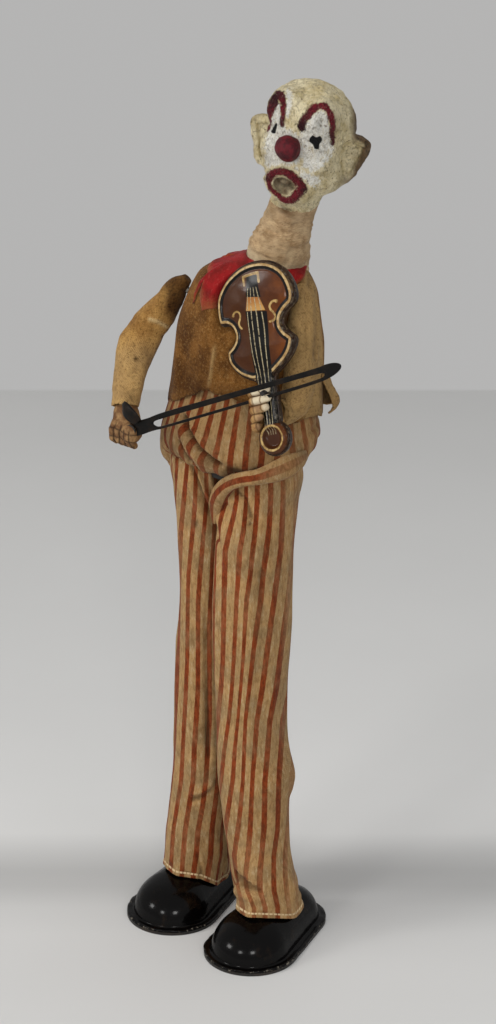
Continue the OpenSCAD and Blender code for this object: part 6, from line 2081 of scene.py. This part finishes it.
def watched_ray(nodes, links, path):
    """1 where the camera looks or a glossy or clear surface reflects, for the backdrop's own plain tone."""
    total = path.outputs["Is Camera Ray"]
    for name in ("Is Glossy Ray", "Is Transmission Ray"):
        larger = nodes.new("ShaderNodeMath")
        larger.operation = "MAXIMUM"
        links.new(total, larger.inputs[0])
        links.new(path.outputs[name], larger.inputs[1])
        total = larger.outputs[0]
    return total


# The add-on

def cloth_colour(name, description, text):
    return FloatVectorProperty(name=name, description=description, default=tint(text)[:3], min=0, max=1,
                               subtype="COLOR")


def cloth_thickness(name, description, millimetres):
    return FloatProperty(name=name, description=description, default=millimetres * MM, min=0.2 * MM,
                         max=1 * MM,
                         precision=5, unit="LENGTH")


class ClownClothSettings(bpy.types.PropertyGroup):
    """Colours and thickness of the clothes"""
    cream: cloth_colour("Cream", "Ground colour of the striped trousers", "b08b5c")
    rust: cloth_colour("Rust", "Colour of the trousers' stripes", "863b1b")
    wool: cloth_colour("Wool", "Colour of the jacket", "84592a")
    felt: cloth_colour("Felt", "Colour of the collar", "8e1c1d")
    cotton_thickness: cloth_thickness("Cotton", "Thickness of the trousers' cloth", 0.45)
    wool_thickness: cloth_thickness("Wool thickness", "Thickness of the jacket's cloth", 0.55)
    sleeve_thickness: cloth_thickness("Sleeves", "Thickness of the sleeves and of the coat tail", 0.5)
    felt_thickness: cloth_thickness("Felt thickness", "Thickness of the collar", 0.4)


class ClownStageSettings(bpy.types.PropertyGroup):
    """Light and backdrop"""
    key: FloatProperty(name="Key light", description="Power of the main soft light", default=7.0, min=0,
                       unit="POWER")
    fill: FloatProperty(name="Fill", description="Strength of the light from all round", default=0.26, min=0,
                        subtype="FACTOR", max=2)
    floor_tone: FloatProperty(name="Floor", description="Brightness of the floor's paper", subtype="FACTOR",
                              default=1.04, min=0, max=1.5)
    backdrop: FloatVectorProperty(name="Backdrop", description="Colour of the backdrop", subtype="COLOR",
                                  default=(0.461, 0.458, 0.454), min=0, max=1)


def finished(operator, *made):
    """An operator's answer, or an error if anything it should make isn't there."""
    if any(thing is None for thing in made):
        raise RuntimeError(operator.bl_label + " could not be finished")
    return {"FINISHED"}


class CLOWN_OT_shoes(bpy.types.Operator):
    """Both shoes of enamelled tin"""
    bl_idname = "clown.shoes"
    bl_label = "Shoes"

    def execute(self, context):
        return finished(self, make_shoe("right"), make_shoe("left"))


class CLOWN_OT_trousers(bpy.types.Operator):
    """Legs, seat and the fold under the belly"""
    bl_idname = "clown.trousers"
    bl_label = "Trousers"

    def execute(self, context):
        return finished(self, make_leg("right"), make_leg("left"), make_seat())


class CLOWN_OT_jacket(bpy.types.Operator):
    """Jacket and coat tail"""
    bl_idname = "clown.jacket"
    bl_label = "Jacket"

    def execute(self, context):
        return finished(self, make_jacket(), make_coat_tail())


class CLOWN_OT_collar(bpy.types.Operator):
    """The pointed felt collar"""
    bl_idname = "clown.collar"
    bl_label = "Collar"

    def execute(self, context):
        return finished(self, make_collar())


class CLOWN_OT_sleeves(bpy.types.Operator):
    """Both sleeves"""
    bl_idname = "clown.sleeves"
    bl_label = "Sleeves"

    def execute(self, context):
        return finished(self, make_sleeve("right"), make_sleeve("left"))


class CLOWN_OT_hands(bpy.types.Operator):
    """The fist and the fingering hand"""
    bl_idname = "clown.hands"
    bl_label = "Hands"

    def execute(self, context):
        return finished(self, make_fist(), make_left_hand())


class CLOWN_OT_bow(bpy.types.Operator):
    """The bow and its tab"""
    bl_idname = "clown.bow"
    bl_label = "Bow"

    def execute(self, context):
        return finished(self, make_bow(), make_tab())


class CLOWN_OT_fiddle(bpy.types.Operator):
    """Face and tray of the fiddle"""
    bl_idname = "clown.fiddle"
    bl_label = "Fiddle"

    def execute(self, context):
        return finished(self, make_fiddle_face(), make_fiddle_tray())


class CLOWN_OT_head(bpy.types.Operator):
    """Head, neck and nose"""
    bl_idname = "clown.head"
    bl_label = "Head"

    def execute(self, context):
        return finished(self, make_head_pieces(), make_nose())


class CLOWN_OT_clockwork(bpy.types.Operator):
    """Finishes of the clockwork, wires, plates and key"""
    bl_idname = "clown.clockwork"
    bl_label = "Clockwork"

    def execute(self, context):
        return finished(self, finish_frame_nodes() or None)


class CLOWN_OT_stage(bpy.types.Operator):
    """Floor, backdrop, lights and camera"""
    bl_idname = "clown.stage"
    bl_label = "Stage"

    def execute(self, context):
        make_stage(context.scene.clown_stage)
        return finished(self, context.scene.camera, context.scene.world)


class CLOWN_PT_pieces(bpy.types.Panel):
    """Lists the pieces"""
    bl_label = "Clockwork clown"
    bl_idname = "CLOWN_PT_pieces"
    bl_space_type = "VIEW_3D"
    bl_region_type = "UI"
    bl_category = "Clown"

    def draw(self, context):
        scene = context.scene
        for cls, props in ((ClownClothSettings, scene.clown_cloth), (ClownStageSettings, scene.clown_stage)):
            for name in cls.__annotations__:
                self.layout.prop(props, name)
        for cls in OPERATORS:
            self.layout.operator(cls.bl_idname)


# In the order in which they are run
OPERATORS = [CLOWN_OT_shoes, CLOWN_OT_trousers, CLOWN_OT_jacket, CLOWN_OT_collar, CLOWN_OT_sleeves,
             CLOWN_OT_hands,
             CLOWN_OT_bow, CLOWN_OT_fiddle, CLOWN_OT_head, CLOWN_OT_clockwork, CLOWN_OT_stage]
CLASSES = [ClownClothSettings, ClownStageSettings, *OPERATORS, CLOWN_PT_pieces]


def register():
    for cls in CLASSES:
        bpy.utils.register_class(cls)
    bpy.types.Scene.clown_cloth = PointerProperty(type=ClownClothSettings)
    bpy.types.Scene.clown_stage = PointerProperty(type=ClownStageSettings)


def unregister():
    del bpy.types.Scene.clown_cloth, bpy.types.Scene.clown_stage
    for cls in reversed(CLASSES):
        bpy.utils.unregister_class(cls)


def main():
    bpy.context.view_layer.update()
    register()
    bpy.ops.clown.shoes()
    bpy.ops.clown.trousers()
    bpy.ops.clown.jacket()
    bpy.ops.clown.collar()
    bpy.ops.clown.sleeves()
    bpy.ops.clown.hands()
    bpy.ops.clown.bow()
    bpy.ops.clown.fiddle()
    bpy.ops.clown.head()
    bpy.ops.clown.clockwork()
    bpy.ops.clown.stage()


if __name__ == "__main__":
    main()
